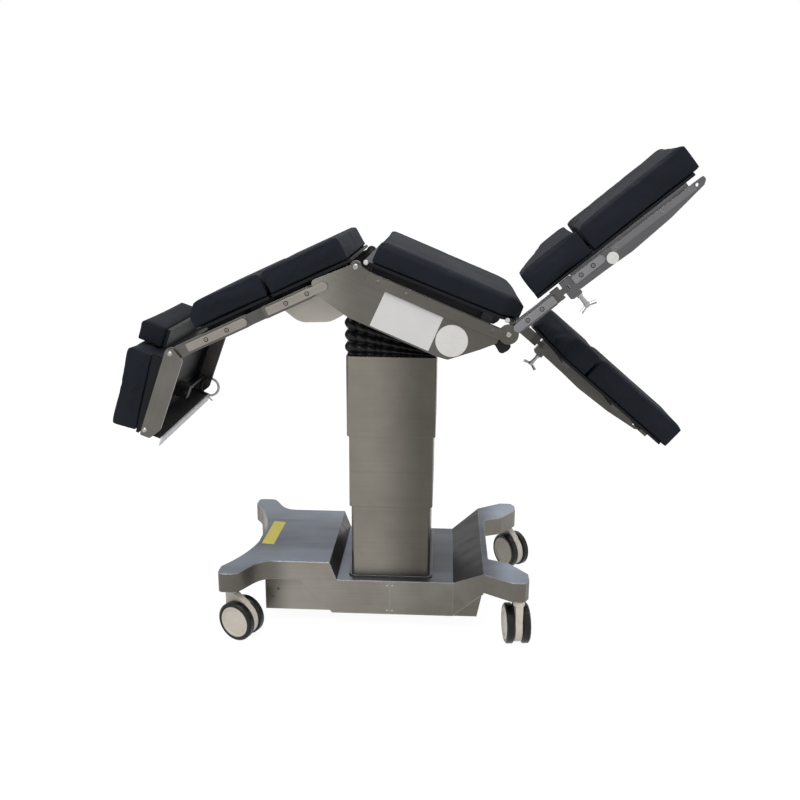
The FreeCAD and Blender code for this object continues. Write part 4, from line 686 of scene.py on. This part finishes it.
def plate(name, face, corners, thick, material, body, radius=2.0):
    """Thin plate on a face: an outline of four corners (u, v), each rounded by a quadratic curve of the given
    reach, carried a short way out from the face with a softened rim."""
    corners = np.asarray(corners, float)
    before = np.roll(corners, 1, axis=0) - corners
    ahead = np.roll(corners, -1, axis=0) - corners
    before /= np.linalg.norm(before, axis=1, keepdims=True)
    ahead /= np.linalg.norm(ahead, axis=1, keepdims=True)
    t = np.linspace(0.0, 1.0, 7)[None, :, None]
    first = corners[:, None, :] + before[:, None, :] * radius
    last = corners[:, None, :] + ahead[:, None, :] * radius
    middle = corners[:, None, :]
    outline = ((1 - t) ** 2 * first + 2 * t * (1 - t) * middle + t ** 2 * last).reshape(-1, 2)
    centre = outline.mean(0)
    inset = centre + (outline - centre) * (1.0 - 0.6 / np.linalg.norm(outline - centre, axis=1, keepdims=True))
    rings = np.stack([face(outline[:, 0], outline[:, 1], 0.0), face(outline[:, 0], outline[:, 1], thick * 0.7),
                      face(inset[:, 0], inset[:, 1], thick)])
    piece = loft(name, rings, False)
    piece.data.materials.append(material)
    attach(piece, body)
    return piece


def disc(name, place, s, n, y, radius, thick, material, body):
    """Thin round disc on a side face, with a rounded rim."""
    side = math.copysign(1.0, y)
    centre = placed(place, s, y, n)
    profile = [(0.0, radius), (thick - 0.3, radius), (thick, radius - 0.5), (thick, radius - 3.0),
               (thick + 0.1, 0.5)]
    piece = lathe(name, profile, centre, (0.0, side, 0.0), 72)
    piece.data.materials.append(material)
    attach(piece, body)
    return piece


plate("blank_white_plate", side_face(SEAT, -290.0), [(-374, -19), (-192, -25), (-195, -132), (-380, -127)], 0.8,
      blank_plate, "seat")
plate("blank_yellow_plate", top_face(222.0), [(-436, -88), (-394, -94), (-388, 102), (-430, 108)], 0.6,
      yellow_plate, "base")
disc("blank_cheek_disc", SEAT, -144.0, -79.0, -290.0, 47.0, 0.8, blank_disc, "seat")
disc("blank_leg_disc", LEG_NEAR, 357.0, -10.0, -291.0, 17.0, 2.6, blank_disc, "leg_near_section")
for side, face in (("near", -277.5), ("far", 277.5)):
    plate("head_" + side + "_edge_seal", side_face(HEAD, face),
          [(-26, 3), (-256, 3), (-256, 25), (-26, 44)], 4.3,
          laminate, "head")


# Screw details: painted shade in the cap screws' grooves and sockets, and the flank screws

def turned_rows(centres, axes, profile, steps):
    """Closed turned shapes at many places at once: each place's profile, a closed loop of (height, radius) in
    millimetres, is carried round that place's axis."""
    axes = np.asarray(axes, float)
    side = np.cross(axes, [0.31, 0.17, 0.93])
    side /= np.linalg.norm(side, axis=1, keepdims=True)
    other = np.cross(axes, side)
    turns = np.linspace(0.0, 2 * np.pi, steps, endpoint=False)
    spoke = (np.cos(turns)[None, :, None] * side[:, None, :] + np.sin(turns)[None, :, None] * other[:, None, :])
    profile = np.asarray(profile, float) * MM
    points = (np.asarray(centres, float)[:, None, None, :]
              + profile[None, :, 0, None, None] * axes[:, None, None, :]
              + profile[None, :, 1, None, None] * spoke[:, None, :, :])
    count, rows = points.shape[:2]
    index = np.arange(count * rows * steps).reshape(count, rows, steps)
    ahead = np.roll(index, -1, axis=2)
    quads = np.stack([index, ahead, np.roll(ahead, -1, axis=1), np.roll(index, -1, axis=1)], axis=-1)
    return points, quads.reshape(-1, 4).tolist()


def screws(name, body, material, spots, profile, steps=20):
    """Turned details of one kind on one body: rows of (section, s, n, y), each facing away from the middle."""
    centres = np.array([placed(place, s, y, n) for place, s, n, y in spots])
    axes = np.array([[0.0, math.copysign(1.0, y), 0.0] for place, s, n, y in spots])
    points, quads = turned_rows(centres, axes, profile, steps)
    piece = mesh_object(name, points, quads)
    piece.data.materials.append(material)
    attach(piece, body)


# Painted shade: a dark ring over each cap screw's groove, and a dark disc for its socket.
GROOVE_SHADE = [(-0.6, 4.2), (-0.6, 6.9), (0.1, 7.0), (0.3, 6.6), (0.3, 4.2)]
SOCKET_SHADE = [(-0.4, 0.2), (-0.4, 1.6), (0.25, 1.6), (0.25, 0.2)]
SCREW_PLACES = {
    "back": [(BACK, s, -12.0, y) for s in (-158.7, -226.2, -418.7, -487.3) for y in (-CAP_FACE, CAP_FACE)],
    "leg_near_arm": [(LEG_NEAR, s, 0.0, -CAP_FACE) for s in (67.5, 117.9)],
    "leg_far_arm": [(LEG_FAR, s, 0.0, CAP_FACE) for s in (67.5, 117.9)],
    "leg_near_section": [(LEG_NEAR, s, 8.0, -CAP_FACE) for s in (260.9, 302.2)],
    "leg_far_section": [(LEG_FAR, s, 8.0, CAP_FACE) for s in (260.9, 302.2)],
}
for body, spots in SCREW_PLACES.items():
    screws(body + "_cap_screw_groove_shade", body, screw_shade, spots, GROOVE_SHADE)
    heads = [(place, s, n, y + math.copysign(SCREW_RISE, y)) for place, s, n, y in spots]
    screws(body + "_cap_screw_socket_shade", body, screw_shade, heads, SOCKET_SHADE, 12)
FLANK_HEAD = [(-0.5, 0.3), (-0.5, 4.0), (0.9, 4.0), (1.6, 3.2), (1.8, 0.3)]
screws("base_flank_screws", "base", dark_block,
       [(LEVEL, x - COLUMN_X, z, y) for x, z in ((-412.5, 118.4), (-429.6, 89.7)) for y in (-207.0, 207.0)],
       FLANK_HEAD, 16)


# Camera, floor, light

def photo_camera():
    """Camera at the photograph's place and angle: yaw about Z, pitch down, a small roll."""
    pitch, yaw, roll = math.radians(14.18), math.radians(2.83), math.radians(0.357)
    forward = np.array([-math.sin(yaw) * math.cos(pitch), math.cos(yaw) * math.cos(pitch), -math.sin(pitch)])
    right = np.array([math.cos(yaw), math.sin(yaw), 0.0])
    up = np.cross(right, forward)
    tilted = right * math.cos(roll) + up * math.sin(roll)
    upright = -right * math.sin(roll) + up * math.cos(roll)
    data = bpy.data.cameras.new("photo_camera")
    data.sensor_width = 36.0
    data.lens = 887.3 / 800.0 * 36.0
    camera = bpy.data.objects.new("photo_camera", data)
    bpy.context.scene.collection.objects.link(camera)
    rows = np.eye(4)
    rows[:3, 0], rows[:3, 1], rows[:3, 2] = tilted, upright, -forward
    rows[:3, 3] = (0.1052, -2.812, 1.4124)
    camera.matrix_world = Matrix(rows.tolist())
    bpy.context.scene.camera = camera


def white_share(tree, most):
    """Share of plain white that camera and glossy rays see."""
    path = add(tree, "ShaderNodeLightPath")
    seen = maths(tree, "MAXIMUM", path.outputs["Is Camera Ray"], path.outputs["Is Glossy Ray"])
    seen = maths(tree, "MAXIMUM", seen, path.outputs["Is Transmission Ray"])
    return maths(tree, "MULTIPLY", seen, most)


def studio():
    """Pale floor that keeps the shadow, white surroundings and three soft lamps."""
    floor = mesh_object("studio_floor", np.array([[-40.0, -40.0, 0.0], [40.0, -40.0, 0.0], [40.0, 40.0, 0.0],
                                                  [-40.0, 40.0, 0.0]]), [[0, 1, 2, 3]], False)
    made = bpy.data.materials.new("studio_floor")
    made.use_nodes = True
    tree = made.node_tree
    tree.nodes.clear()
    out = tree.nodes.new("ShaderNodeOutputMaterial")
    matt = add(tree, "ShaderNodeBsdfDiffuse", {"Color": (0.92, 0.92, 0.92, 1.0)})
    glow = add(tree, "ShaderNodeEmission", {"Color": (1.0, 1.0, 1.0, 1.0), "Strength": 1.08})
    mix = add(tree, "ShaderNodeMixShader", {0: white_share(tree, 0.88), 1: matt.outputs[0], 2: glow.outputs[0]})
    tree.links.new(mix.outputs[0], out.inputs[0])
    floor.data.materials.append(made)

    world = bpy.data.worlds.new("studio_white")
    bpy.context.scene.world = world
    world.use_nodes = True
    tree = world.node_tree
    tree.nodes.clear()
    out = tree.nodes.new("ShaderNodeOutputWorld")
    soft = add(tree, "ShaderNodeBackground", {"Color": (0.96, 0.98, 1.0, 1.0), "Strength": 0.55})
    white = add(tree, "ShaderNodeBackground", {"Color": (1.0, 1.0, 1.0, 1.0), "Strength": 1.0})
    mix = add(tree, "ShaderNodeMixShader", {0: white_share(tree, 1.0), 1: soft.outputs[0], 2: white.outputs[0]})
    tree.links.new(mix.outputs[0], out.inputs[0])

    for name, place, aim, size, power in (
            ("key_softbox", (-1.6, -2.4, 3.6), (0.0, 0.0, 0.9), 2.2, 75.0),
            ("top_softbox", (0.6, 0.6, 4.2), (0.0, 0.0, 0.9), 3.0, 90.0),
            ("fill_softbox", (3.0, -1.8, 2.0), (0.0, 0.0, 0.9), 2.0, 28.0)):
        data = bpy.data.lights.new(name, "AREA")
        data.shape = "SQUARE"
        data.size = size
        data.energy = power
        lamp = bpy.data.objects.new(name, data)
        bpy.context.scene.collection.objects.link(lamp)
        back = np.array(place) - np.array(aim)
        back /= np.linalg.norm(back)
        right = np.cross([0.0, 0.0, 1.0], back)
        right /= np.linalg.norm(right)
        rows = np.eye(4)
        rows[:3, 0], rows[:3, 1], rows[:3, 2], rows[:3, 3] = right, np.cross(back, right), back, place
        lamp.matrix_world = Matrix(rows.tolist())
    bpy.context.scene.view_settings.view_transform = "Standard"


photo_camera()
studio()
